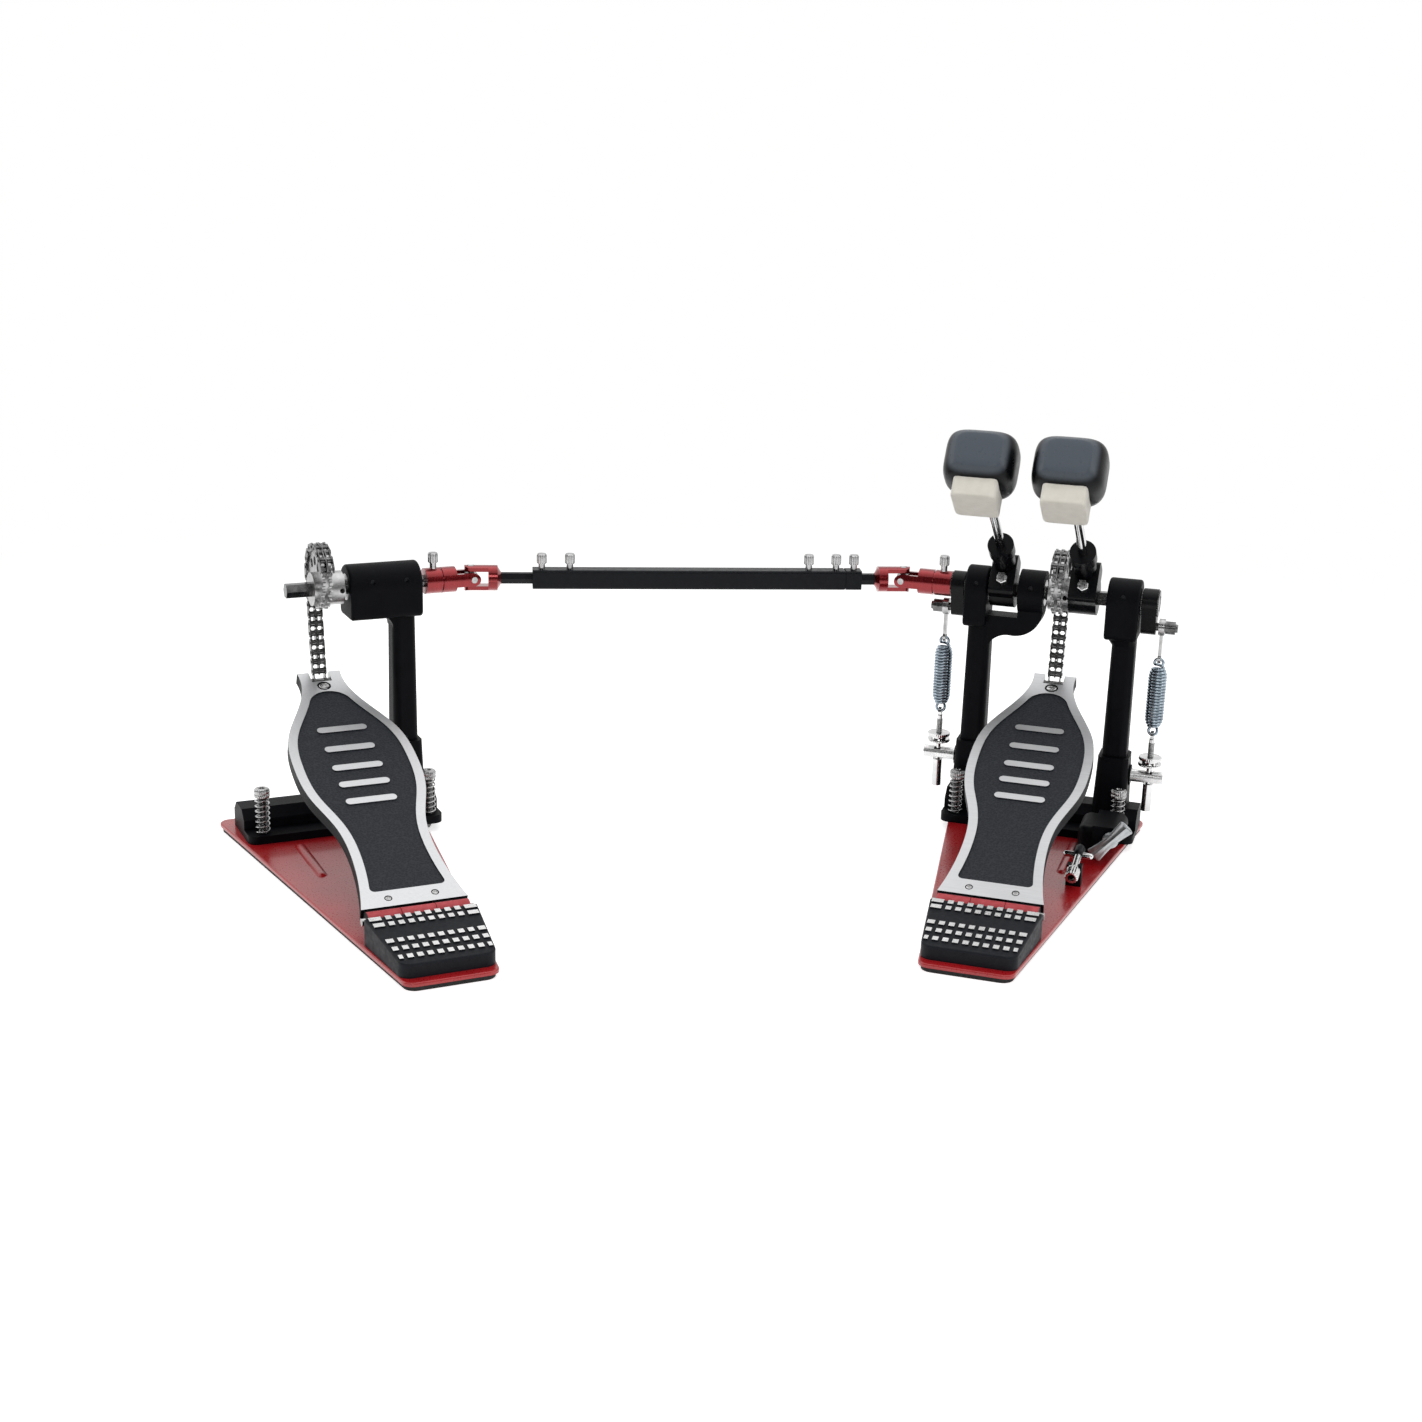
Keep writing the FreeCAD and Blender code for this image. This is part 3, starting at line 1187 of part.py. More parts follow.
def swivel_seat():
    """How far from the column's middle the swivel's seat in the tower ends."""
    return TOWER_WIDE / 2 - 3.0


def swivel(column_x, outward, x):
    """Cross pin seated in the tower, with a slot that the adjuster rod swings in."""
    face = column_x + outward * swivel_seat()
    end = x + outward * 12.0
    pin = x_rod(SWIVEL_DIA, (face, end), 0, SWIVEL_Z)
    half = SLOT_LONG / 2
    slot = box((x - SLOT_WIDE / 2, x + SLOT_WIDE / 2), (-half, half), (SWIVEL_Z - SWIVEL_DIA, SWIVEL_Z + SWIVEL_DIA))
    return pin.cut(slot)


# Universal joints: a yoke is built along +X from the joint's centre, then placed
def yoke(neck, end, bore, ears_up):
    """Fork with two ears round the cross and a round neck on its shaft."""
    radius = YOKE_DIA / 2
    barrel = rod(YOKE_DIA, vec(SLOT_FLOOR, 0, 0), vec(end, 0, 0))
    groove_x = SLOT_FLOOR + (end - SLOT_FLOOR) * 0.45
    ears = []
    for side in (-1, 1):
        slab = box((0, SLOT_FLOOR + 2), (side * YOKE_GAP, side * radius), (-EAR_HALF, EAR_HALF))
        tip = rod(2 * EAR_HALF, vec(0, side * YOKE_GAP, 0), vec(0, side * radius, 0))
        ears += [slab, tip]
    shell = rod(YOKE_DIA, vec(-EAR_HALF, 0, 0), vec(end, 0, 0))
    body = fuse([barrel] + ears).common(shell)
    groove = rod(YOKE_DIA + 2, vec(groove_x, 0, 0), vec(groove_x + 1.6, 0, 0))
    groove = groove.cut(rod(YOKE_DIA - 2.4, vec(groove_x - 1, 0, 0), vec(groove_x + 3, 0, 0)))
    body = body.cut(groove) if neck > 0 else body
    fit = RUN_FIT if not ears_up else SWING_GAP
    pin_hole = rod(CROSS_DIA + 2 * fit, vec(0, -radius - 1, 0), vec(0, radius + 1, 0))
    body = body.cut(pin_hole)
    if bore > 0:
        body = body.cut(rod(bore + 2 * SEAT_FIT, vec(SLOT_FLOOR - 1, 0, 0), vec(end + 1, 0, 0)))
    return turned(body, ORIGIN, X_AXIS, 90) if ears_up else body


def cross():
    reach = YOKE_DIA / 2 - 0.4
    half = CROSS_CUBE / 2
    block = box((-half, half), (-half, half), (-half, half))
    return fuse([block, rod(CROSS_DIA, vec(0, -reach, 0), vec(0, reach, 0)),
                 rod(CROSS_DIA, vec(0, 0, -reach), vec(0, 0, reach))])


def key_screw(x, z, sunk):
    """Key screw on a face at height z: a stem, sunk into the face, under a wider head."""
    stem = rod(KEY_STEM_DIA, vec(x, 0, z - sunk), vec(x, 0, z + KEY_STEM_HIGH + 1))
    head = rod(KEY_HEAD_DIA, vec(x, 0, z + KEY_STEM_HIGH), vec(x, 0, z + KEY_STEM_HIGH + KEY_HEAD_HIGH))
    return fuse([stem, head])


def outer_yoke(cross_x, end_x):
    """Shaft-end yoke with ears front and back and a key screw on its neck."""
    toward = 1 if end_x > cross_x else -1
    long = abs(end_x - cross_x)
    body = yoke(1, long, JOURNAL_DIA, False)
    screw = key_screw(long - KEY_SCREW_BACK, YOKE_DIA / 2, KEY_STEM_SUNK)
    whole = group([body.cut(screw), screw])
    whole = whole if toward > 0 else turned(whole, ORIGIN, Z_AXIS, 180)
    whole.translate(vec(cross_x, 0, SHAFT_Z))
    return whole


def placed_cross(cross_x):
    piece = cross()
    piece.translate(vec(cross_x, 0, SHAFT_Z))
    return piece


def slave_cross_point():
    a = math.radians(SLAVE_TURN)
    return vec(SLAVE_X + SLAVE_CROSS_X * math.cos(a), SLAVE_Y + SLAVE_CROSS_X * math.sin(a), SHAFT_Z)


def along_link(shape, from_slave):
    """Carries a piece built along +X from a joint's centre onto the drive shaft's line."""
    first = vec(PRIMARY_CROSS_X, 0, SHAFT_Z)
    line = slave_cross_point() - first
    angle = math.degrees(math.atan2(line.y, line.x)) + (180 if from_slave else 0)
    copy = turned(shape, ORIGIN, Z_AXIS, angle)
    copy.translate(slave_cross_point() if from_slave else first)
    return copy


def link_length():
    return (slave_cross_point() - vec(PRIMARY_CROSS_X, 0, SHAFT_Z)).Length


def inner_yoke(rod_long):
    """Fork with ears above and below, and the hexagon rod that runs into the tube."""
    body = yoke(0, YOKE_NECK, 0, True)
    step = Part.makeCone(YOKE_DIA / 2 - 1.0, DRIVE_ROD / 2 + 0.6, 3.0, vec(YOKE_NECK, 0, 0), X_AXIS)
    return fuse([body, step, hex_bar(DRIVE_ROD, (YOKE_NECK - 1, YOKE_NECK + rod_long), 0, 0)])


def linkage_tube():
    """Square telescopic tube with an end cap, a hexagon bore and key screws on top."""
    end = link_length() - TUBE_END
    half = TUBE_WIDE / 2
    def square(size, x0, x1):
        wire = rounded_rectangle((-size, size), (-size, size), 0, 2.2)
        bar = Part.Face(wire).extrude(vec(0, 0, x1 - x0))
        bar.rotate(ORIGIN, Y_AXIS, 90)
        bar.translate(vec(x0, 0, 0))
        return bar
    seam = 1.0
    pieces = [square(half, TUBE_START, TUBE_START + TUBE_CAP), square(half, TUBE_START + TUBE_CAP + seam, end),
              square(half - 0.8, TUBE_START + TUBE_CAP - 1, TUBE_START + TUBE_CAP + seam + 1)]
    body = fuse(pieces)
    screws = [TUBE_START + reach for reach in TUBE_SCREWS_NEAR] + [end - reach for reach in TUBE_SCREWS_FAR]
    heads = [key_screw(x, half, 0) for x in screws]
    body = body.cut(hex_bar(TUBE_BORE, (TUBE_START - 1, end + 1), 0, 0))
    return group([body] + heads)


# Hoop clamp, wing screw and key
def clamp_bracket():
    """Clamp drive housing on the base, jaw lugs on the cross foot and the key's open clip."""
    x0, x1 = BRACKET_X
    y0, y1 = BRACKET_Y
    outline = [vec(x, y, BASE_TOP) for x, y in ((x0, y0), (x1, y0), (x1, y1), (x0, y1))]
    block = rounded_prism(outline, vec(0, 0, BRACKET_TOP - BASE_TOP), BRACKET_CORNER)
    block = rounded_edges(block, BRACKET_ROUND, lambda c: abs(c.z - BRACKET_TOP) < 1e-6)
    radius = WING_ROD_DIA / 2 + WING_BOSS_WALL
    boss_y = (WING_Y + WING_BOSS_GAP, y1 - WING_BOSS_GAP)
    boss = rod(2 * radius, vec(WING_X, boss_y[0], WING_Z), vec(WING_X, boss_y[1], WING_Z))
    bridge = box((x1 - BRACKET_CORNER, WING_X), boss_y, (WING_Z - radius, WING_Z + radius))
    body = fuse([block, boss, bridge])
    bore_low = vec(WING_X, boss_y[0] - 1, WING_Z)
    body = body.cut(rod(WING_ROD_DIA + 2 * RUN_FIT, bore_low, vec(WING_X, boss_y[1], WING_Z)))
    lugs = []
    for side in (-1, 1):
        span = (side * (JAW_HALF + JAW_GAP), side * (JAW_HALF + JAW_GAP + JAW_LUG))
        lug = x_rod(2 * JAW_LUG, span, JAW_PIVOT_Y, JAW_PIVOT_Z)
        foot = box(span, (FOOT_HALF_Y, JAW_PIVOT_Y), (BASE_TOP, JAW_PIVOT_Z))
        pin = x_rod(JAW_PIN_DIA, (side * (JAW_HALF - JAW_PIN_DIA), span[1]), JAW_PIVOT_Y, JAW_PIVOT_Z)
        lugs.append(fuse([lug, foot, pin]))
    middle = key_point(0.5)
    clip_x, clip_y = CLIP_HALF
    post_z = (BASE_TOP, middle.z + CLIP_LIP)
    post = box((middle.x - clip_x, middle.x + clip_x), (middle.y - clip_y, middle.y + clip_y), post_z)
    radius = KEY_SHANK_DIA / 2 + SWING_GAP
    way_z = (middle.z - radius - 1, middle.z + 2 * CLIP_LIP)
    way = box((middle.x - radius, middle.x + radius), (middle.y - 2 * clip_y, middle.y + 2 * clip_y), way_z)
    return group([body] + lugs + [post.cut(way)])


def clamp_jaw():
    """Jaw that closes down on the drum hoop, with a padded lip."""
    radius = JAW_PIN_DIA / 2 + JAW_WALL
    top = JAW_PIVOT_Z + radius
    side_view = [vec(-JAW_HALF, JAW_PIVOT_Y - radius + 2, JAW_PIVOT_Z), vec(-JAW_HALF, JAW_PIVOT_Y, top),
                 vec(-JAW_HALF, JAW_LIP_Y, JAW_LIP_Z + JAW_LIP_THICK), vec(-JAW_HALF, JAW_LIP_Y, JAW_LIP_Z),
                 vec(-JAW_HALF, JAW_PIVOT_Y - 2, JAW_LIP_Z)]
    body = prism(side_view, vec(2 * JAW_HALF, 0, 0))
    barrel = x_rod(2 * radius, (-JAW_HALF, JAW_HALF), JAW_PIVOT_Y, JAW_PIVOT_Z)
    body = body.fuse(barrel).removeSplitter()
    return body.cut(x_rod(JAW_PIN_DIA + 2 * RUN_FIT, (-JAW_HALF, JAW_HALF), JAW_PIVOT_Y, JAW_PIVOT_Z))


def wing_screw():
    """Threaded screw along Y with a waisted wing head."""
    half = WING_LONG / 2
    wide = WING_WIDE / 2
    waist = wide * WING_WAIST
    y = WING_Y
    top = Part.Arc(vec(-half, y, wide), vec(0, y, waist), vec(half, y, wide)).toShape()
    low = Part.Arc(vec(half, y, -wide), vec(0, y, -waist), vec(-half, y, -wide)).toShape()
    right = Part.Arc(vec(half, y, wide), vec(half + WING_BOW, y, 0), vec(half, y, -wide)).toShape()
    left = Part.Arc(vec(-half, y, -wide), vec(-half - WING_BOW, y, 0), vec(-half, y, wide)).toShape()
    blade = Part.Face(Part.Wire([top, right, low, left])).extrude(vec(0, -WING_THICK, 0))
    hub = rod(WING_HUB, vec(0, y - WING_THICK - 1.5, 0), vec(0, y + WING_BOSS_GAP - 2, 0))
    screw = rod(WING_ROD_DIA, vec(0, y, 0), vec(0, WING_ROD_END, 0))
    whole = fuse([blade, hub, screw])
    whole = turned(whole, ORIGIN, Y_AXIS, -WING_TILT)
    whole.translate(vec(WING_X, 0, WING_Z))
    return whole


def key_point(share):
    """A point on the key's axis, from the handle end to the socket end."""
    return vec(KEY_X, KEY_Y0 + (KEY_Y1 - KEY_Y0) * share, KEY_Z0 + (KEY_Z1 - KEY_Z0) * share)


def drum_key():
    """Square-socket drum key: round grip, cross bar, shank and socket."""
    ahead = key_point(0) - key_point(1)
    ahead.normalize()
    up = vec(0, -ahead.z, ahead.y)
    side = vec(KEY_BAR_HALF, 0, 0)
    shank = rod(KEY_SHANK_DIA, key_point(0), key_point(KEY_SOCKET_FROM + 0.04))
    socket = rod(KEY_SOCKET_DIA, key_point(KEY_SOCKET_FROM), key_point(1.0))
    grip = rod(KEY_GRIP_DIA, key_point(0), key_point(0) + ahead * KEY_GRIP_LONG)
    bar = rod(KEY_BAR_DIA, key_point(0) - side, key_point(0) + side)
    half = KEY_SQUARE / 2
    corners = ((-half, -half), (half, -half), (half, half), (-half, half))
    hole = prism([key_point(1.0) + vec(dx, 0, 0) + up * dz for dx, dz in corners], ahead * KEY_SQUARE_DEEP)
    return fuse([shank, socket, grip, bar]).cut(hole)


# Build every node
def build():
    os.makedirs("parts", exist_ok=True)
    plates = (("primary", PRIMARY_SPURS, lambda shape: shape), ("slave", SLAVE_SPURS, on_slave))
    span = chain_span()
    for name, spurs, place in plates:
        hub_x = (-8.0, 9.4) if name == "primary" else (-8.0, 17.5)
        save(name + "_base_plate", place(base_plate(spurs)))
        save(name + "_floor_pad", place(floor_pad(spurs)))
        save(name + "_heel_plate", place(heel_plate()))
        save(name + "_heel_hinge", place(heel_hinge()))
        save(name + "_footboard", place(footboard()))
        save(name + "_spurs", place(spurs_set(name + " spur", spurs)))
        save(name + "_sprocket", place(sprocket(hub_x)))
        save(name + "_chain_wrap", place(chain_wrap()))
        save(name + "_chain_link_1", place(group(outer_link(ring_pin(3), ring_pin(2), True))))
        save(name + "_chain_link_2", place(pinned_inner_link(ring_pin(2), ring_pin(1))))
        save(name + "_chain_link_3", place(group(outer_link(ring_pin(1), ring_pin(0), True))))
        save(name + "_chain_span", place(span))
    save("primary_foot_bar", foot_bar(PRIMARY_FOOT, ((LEFT_COLUMN_X, -1), (RIGHT_COLUMN_X, 1)), PRIMARY_SPURS))
    save("slave_foot_bar", on_slave(foot_bar(SLAVE_FOOT, ((SLAVE_COLUMN_X, 0),), SLAVE_SPURS)))
    save("left_post", left_post())
    save("right_post", right_post())
    save("slave_post", on_slave(slave_post()))
    seats = bearing_seats(LEFT_HOUSING, ("high",)) + bearing_seats(MID_HOUSING, ("low", "high"))
    save("post_bearings", bearings(seats + bearing_seats(RIGHT_HOUSING, ("low",))))
    save("slave_bearings", on_slave(bearings(bearing_seats(SLAVE_HOUSING, ("low", "high")))))
    save("primary_shaft", primary_shaft())
    save("left_beater_shaft", left_beater_shaft())
    save("slave_shaft", on_slave(slave_shaft()))
    sides = (("right", RIGHT_HUB, RIGHT_ROCKER, RIGHT_COLUMN_X, 1), ("left", LEFT_HUB, LEFT_ROCKER, LEFT_COLUMN_X, -1))
    swivels = []
    for name, hub, rocker_x, column_x, outward in sides:
        x = spring_x(rocker_x, outward)
        save(name + "_beater_hub", beater_hub(hub))
        save(name + "_beater_rod", beater_rod(hub))
        save(name + "_beater_head", beater_head(hub))
        save(name + "_rocker", rocker(rocker_x, outward))
        save(name + "_stirrup", stirrup(x))
        save(name + "_spring", return_spring(name + " spring", x))
        save(name + "_spring_tail", spring_tail(x))
        swivels.append(swivel(column_x, outward, x))
    save("spring_swivels", group(swivels))
    save("primary_outer_yoke", outer_yoke(PRIMARY_CROSS_X, PRIMARY_YOKE_END))
    save("slave_outer_yoke", on_slave(outer_yoke(SLAVE_CROSS_X, SLAVE_YOKE_END)))
    save("primary_cross", placed_cross(PRIMARY_CROSS_X))
    save("slave_cross", on_slave(placed_cross(SLAVE_CROSS_X)))
    save("primary_inner_yoke", along_link(inner_yoke(FIXED_ROD_LONG), False))
    save("slave_inner_yoke", along_link(inner_yoke(SLIDE_ROD_LONG), True))
    save("linkage_tube", along_link(linkage_tube(), False))
    save("clamp_bracket", clamp_bracket())
    save("clamp_jaw", clamp_jaw())
    save("wing_screw", wing_screw())
    save("drum_key", drum_key())


build()
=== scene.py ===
# Double bass drum pedal, dressed: finishes for the solid pieces, and the wound, knurled, felted and
# moulded pieces as surfaces. Sizes below are millimetres in the pedal frame; meshes are metres.
import bmesh
import bpy
import math
import numpy as np
from mathutils import Matrix, Vector


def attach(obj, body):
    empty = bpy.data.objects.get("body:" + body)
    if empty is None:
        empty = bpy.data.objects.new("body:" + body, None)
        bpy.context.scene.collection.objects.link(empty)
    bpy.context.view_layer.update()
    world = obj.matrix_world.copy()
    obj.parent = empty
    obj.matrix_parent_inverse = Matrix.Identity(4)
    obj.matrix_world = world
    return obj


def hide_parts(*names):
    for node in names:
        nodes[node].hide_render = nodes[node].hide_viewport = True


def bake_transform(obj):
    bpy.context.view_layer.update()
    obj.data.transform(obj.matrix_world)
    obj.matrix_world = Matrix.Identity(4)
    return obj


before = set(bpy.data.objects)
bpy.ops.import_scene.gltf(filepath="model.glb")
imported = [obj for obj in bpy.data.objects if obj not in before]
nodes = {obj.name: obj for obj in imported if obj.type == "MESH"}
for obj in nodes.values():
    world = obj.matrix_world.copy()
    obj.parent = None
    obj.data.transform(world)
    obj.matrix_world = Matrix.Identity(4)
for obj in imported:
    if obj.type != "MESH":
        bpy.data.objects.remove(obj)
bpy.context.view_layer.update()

MM = 0.001
TURN = 2 * np.pi
SHAFT_Z = 210.0
SLAVE_AT = np.array([-572.72, -237.86, 0.0])
SLAVE_TURN = math.radians(42.59)
BOARD_TILT = math.radians(21.4)
BOARD_AT = np.array([0.0, -256.6, 28.7])
ROD_TILT = math.radians(54.0)
ROD_AT = np.array([0.0, 0.0, SHAFT_Z])
# Band along the beater rod over which the head's shell turns from black to a lighter crown: painted light,
# not a real change of colour
CROWN_PAINTED_LIGHT_FROM, CROWN_PAINTED_LIGHT_TO = 215.5, 220.5
ROD_OFFSET = 16.0
RIGHT_HUB_X, LEFT_HUB_X = 21.4, -47.0
SPRINGS = (("right", 88.0), ("left", -96.0))
PRIMARY_CROSS = np.array([-135.8, 0.0, SHAFT_Z])
LINK_WAY = np.array([-0.91549, -0.40233, 0.0])


# Places: on_ takes points from a piece's own frame to the frame it stands in, and off_ takes them back
def on_primary(points):
    """The pedal frame is the shared frame."""
    return np.asarray(points, float)


def on_slave(points):
    """Turned about the upright axis by the slave pedal's yaw, then moved to its place."""
    c, s = math.cos(SLAVE_TURN), math.sin(SLAVE_TURN)
    return np.asarray(points, float) @ np.array([[c, s, 0], [-s, c, 0], [0, 0, 1]]) + SLAVE_AT


def off_slave(points):
    """Shared frame back to the slave pedal's own frame."""
    c, s = math.cos(SLAVE_TURN), math.sin(SLAVE_TURN)
    return (np.asarray(points, float) - SLAVE_AT) @ np.array([[c, -s, 0], [s, c, 0], [0, 0, 1]])


def off_board(points):
    """Pedal frame to the board's own frame: across, along from the hinge end, and up from its face."""
    c, s = math.cos(BOARD_TILT), math.sin(BOARD_TILT)
    return (np.asarray(points, float) - BOARD_AT) @ np.array([[1, 0, 0], [0, c, -s], [0, s, c]])


def on_board(points):
    """The board's own frame back to the pedal frame."""
    c, s = math.cos(BOARD_TILT), math.sin(BOARD_TILT)
    return np.asarray(points, float) @ np.array([[1, 0, 0], [0, c, s], [0, -s, c]]) + BOARD_AT


def off_rod(points):
    """Pedal frame to the beater rod's frame: across, out toward the drum, and along the rod."""
    c, s = math.cos(ROD_TILT), math.sin(ROD_TILT)
    return (np.asarray(points, float) - ROD_AT) @ np.array([[1, 0, 0], [0, c, -s], [0, s, c]])


def on_rod(points):
    """The beater rod's frame (across, out, along) to the pedal frame."""
    c, s = math.cos(ROD_TILT), math.sin(ROD_TILT)
    return np.asarray(points, float) @ np.array([[1, 0, 0], [0, c, s], [0, -s, c]]) + ROD_AT


def rod_way():
    """Direction of the beater rod in the pedal frame."""
    return on_rod([[0, 0, 1.0]])[0] - ROD_AT


def off_link(points):
    """Shared frame to the drive shaft's frame: along it from the primary cross, across it, and up."""
    side = np.array([-LINK_WAY[1], LINK_WAY[0], 0.0])
    return (np.asarray(points, float) - PRIMARY_CROSS) @ np.stack([LINK_WAY, side, [0, 0, 1]], 1)


def on_link(points):
    """The drive shaft's frame to the shared frame."""
    side = np.array([-LINK_WAY[1], LINK_WAY[0], 0.0])
    return np.asarray(points, float) @ np.stack([LINK_WAY, side, [0, 0, 1]]) + PRIMARY_CROSS


# Materials
NOISE_LOW, NOISE_HIGH = 0.25, 0.75


def shader(name, colour, metallic, roughness):
    """A material with its own shader and the piece's object coordinates."""
    material = bpy.data.materials.new(name)
    material.use_nodes = True
    tree = material.node_tree
    surface = tree.nodes["Principled BSDF"]
    surface.inputs["Base Color"].default_value = (*colour, 1.0)
    surface.inputs["Metallic"].default_value = metallic
    surface.inputs["Roughness"].default_value = roughness
    place = tree.nodes.new("ShaderNodeTexCoord").outputs["Object"]
    return material, tree, surface, place


def noise(tree, place, scale, detail=3.0, roughness=0.55, distortion=0.0):
    """Cloudy value about a half, with scale features to a metre."""
    node = tree.nodes.new("ShaderNodeTexNoise")
    node.inputs["Scale"].default_value = scale
    node.inputs["Detail"].default_value = detail
    node.inputs["Roughness"].default_value = roughness
    node.inputs["Distortion"].default_value = distortion
    tree.links.new(place, node.inputs["Vector"])
    return node.outputs["Fac"]


def stretched(tree, place, scale):
    """Coordinates whose features are scale metres long each way."""
    node = tree.nodes.new("ShaderNodeMapping")
    node.vector_type = "TEXTURE"
    node.inputs["Scale"].default_value = scale
    tree.links.new(place, node.inputs["Vector"])
    return node.outputs["Vector"]


def cells(tree, place, scale):
    """Distance to the nearest of scattered points, scale of them to a metre."""
    node = tree.nodes.new("ShaderNodeTexVoronoi")
    node.inputs["Scale"].default_value = scale
    tree.links.new(place, node.inputs["Vector"])
    return node.outputs["Distance"]


def ramp(tree, value, low, high, start=0.3, end=0.7):
    """Two shades, with the value from start to end running from one to the other."""
    node = tree.nodes.new("ShaderNodeValToRGB")
    node.color_ramp.elements[0].position = start
    node.color_ramp.elements[1].position = end
    node.color_ramp.elements[0].color = (*low, 1.0)
    node.color_ramp.elements[1].color = (*high, 1.0)
    tree.links.new(value, node.inputs["Fac"])
    return node.outputs["Color"]


def grey(level):
    """The same level of red, green and blue."""
    return (level, level, level)


def spread(tree, value, low, high):
    """A number that runs from low to high as the value runs over its usual range."""
    node = tree.nodes.new("ShaderNodeMapRange")
    node.inputs["From Min"].default_value = NOISE_LOW
    node.inputs["From Max"].default_value = NOISE_HIGH
    node.inputs["To Min"].default_value = low
    node.inputs["To Max"].default_value = high
    tree.links.new(value, node.inputs["Value"])
    return node.outputs["Result"]


def eased(tree, value, low, high, start, end):
    """A smooth step from start, where the value is low, to end, where it is high."""
    node = tree.nodes.new("ShaderNodeMapRange")
    node.interpolation_type = "SMOOTHSTEP"
    for name, number in (("From Min", low), ("From Max", high), ("To Min", start), ("To Max", end)):
        node.inputs[name].default_value = number
    tree.links.new(value, node.inputs["Value"])
    return node.outputs["Result"]


def raised(tree, surface, height, depth, strength=1.0):
    """Bump whose height runs over depth metres."""
    node = tree.nodes.new("ShaderNodeBump")
    node.inputs["Strength"].default_value = strength
    node.inputs["Distance"].default_value = depth
    tree.links.new(height, node.inputs["Height"])
    tree.links.new(node.outputs["Normal"], surface.inputs["Normal"])


def black_casting():
    """Fine-grained black powder coat on the castings."""
    material, tree, surface, place = shader("black_casting", (0.0024, 0.0026, 0.0038), 0.0, 0.5)
    fine = noise(tree, place, 1900.0, 2.0)
    tree.links.new(ramp(tree, noise(tree, place, 90.0), (0.0016, 0.0018, 0.0028), (0.0032, 0.0035, 0.005)),
                   surface.inputs["Base Color"])
    tree.links.new(spread(tree, fine, 0.38, 0.58), surface.inputs["Roughness"])
    surface.inputs["Specular IOR Level"].default_value = 0.07
    raised(tree, surface, fine, 0.00022, 0.45)
    return material


def moulded_black(name, low, high, rough, grain, shine):
    """Moulded or painted black with a faint orange peel."""
    material, tree, surface, place = shader(name, high, 0.0, rough)
    peel = noise(tree, place, grain, 2.0)
    tree.links.new(ramp(tree, peel, low, high), surface.inputs["Base Color"])
    polish = spread(tree, noise(tree, place, 220.0), rough * 0.8, rough * 1.25)
    tree.links.new(polish, surface.inputs["Roughness"])
    surface.inputs["Specular IOR Level"].default_value = shine
    raised(tree, surface, peel, 0.00008, 0.35)
    return material


def head_shell():
    """Beater head: black moulding, painted lighter grey toward the crown as painted light from the overhead
    lamp.
    """
    material, tree, surface, place = shader("moulded_shell", (0.06, 0.07, 0.085), 0.0, 0.3)
    along = tree.nodes.new("ShaderNodeVectorMath")
    along.operation = "DOT_PRODUCT"
    along.inputs[1].default_value = rod_way().tolist()
    tree.links.new(place, along.inputs[0])
    lift = ROD_AT @ rod_way()
    # crown runs from nought to one into the crown, where the colour is painted lighter grey: painted light
    # from above
    crown = eased(tree, along.outputs["Value"], (CROWN_PAINTED_LIGHT_FROM + lift) * MM, (CROWN_PAINTED_LIGHT_TO + lift) * MM, 0.0, 1.0)
    tone = ramp(tree, crown, (0.0025, 0.003, 0.004), (0.092, 0.108, 0.128), 0.0, 1.0)
    tree.links.new(tone, surface.inputs["Base Color"])
    tree.links.new(spread(tree, noise(tree, place, 220.0), 0.25, 0.36), surface.inputs["Roughness"])
    surface.inputs["Specular IOR Level"].default_value = 0.16
    raised(tree, surface, noise(tree, place, 900.0, 2.0), 0.00002, 0.35)
    return material


def red_paint():
    """Glossy red enamel on sheet steel, under a clear coat."""
    material, tree, surface, place = shader("red_paint", (0.38, 0.008, 0.012), 0.0, 0.3)
    cloud = noise(tree, place, 35.0)
    peel = noise(tree, place, 700.0, 2.0)
    tone = ramp(tree, cloud, (0.34, 0.007, 0.010), (0.42, 0.010, 0.014))
    tree.links.new(tone, surface.inputs["Base Color"])
    tree.links.new(spread(tree, peel, 0.24, 0.36), surface.inputs["Roughness"])
    surface.inputs["Coat Weight"].default_value = 0.35
    surface.inputs["Coat Roughness"].default_value = 0.08
    raised(tree, surface, peel, 0.00006, 0.3)
    return material


def red_anodised():
    """Turned aluminium, anodised red, with fine tool rings."""
    material, tree, surface, place = shader("red_anodised", (0.25, 0.008, 0.012), 0.85, 0.22)
    rings = noise(tree, stretched(tree, place, (0.0009, 0.05, 0.05)), 1.0, 2.0)
    tone = ramp(tree, rings, (0.22, 0.007, 0.010), (0.28, 0.010, 0.015))
    tree.links.new(tone, surface.inputs["Base Color"])
    tree.links.new(spread(tree, rings, 0.2, 0.3), surface.inputs["Roughness"])
    surface.inputs["Coat Weight"].default_value = 0.7
    surface.inputs["Coat Roughness"].default_value = 0.12
    raised(tree, surface, rings, 0.00003, 0.2)
    return material


def red_matt():
    """Hinge leaves: red powder coat, dulled by dust and handling."""
    material, tree, surface, place = shader("red_matt", (0.42, 0.03, 0.04), 0.0, 0.5)
    cloud = noise(tree, place, 160.0, 4.0)
    fine = noise(tree, place, 1400.0, 2.0)
    tree.links.new(ramp(tree, cloud, (0.36, 0.015, 0.022), (0.50, 0.05, 0.065)), surface.inputs["Base Color"])
    tree.links.new(spread(tree, fine, 0.38, 0.58), surface.inputs["Roughness"])
    raised(tree, surface, fine, 0.00015, 0.4)
    return material


def metal(name, low, high, rough, grain, pit=0.00005):
    """Bare or plated metal: cloudy tone, uneven polish and slight pitting."""
    material, tree, surface, place = shader(name, high, 1.0, sum(rough) / 2)
    fine = noise(tree, place, grain, 3.0)
    tree.links.new(ramp(tree, noise(tree, place, grain * 0.18), low, high), surface.inputs["Base Color"])
    tree.links.new(spread(tree, fine, *rough), surface.inputs["Roughness"])
    raised(tree, surface, fine, pit, 0.25)
    return material


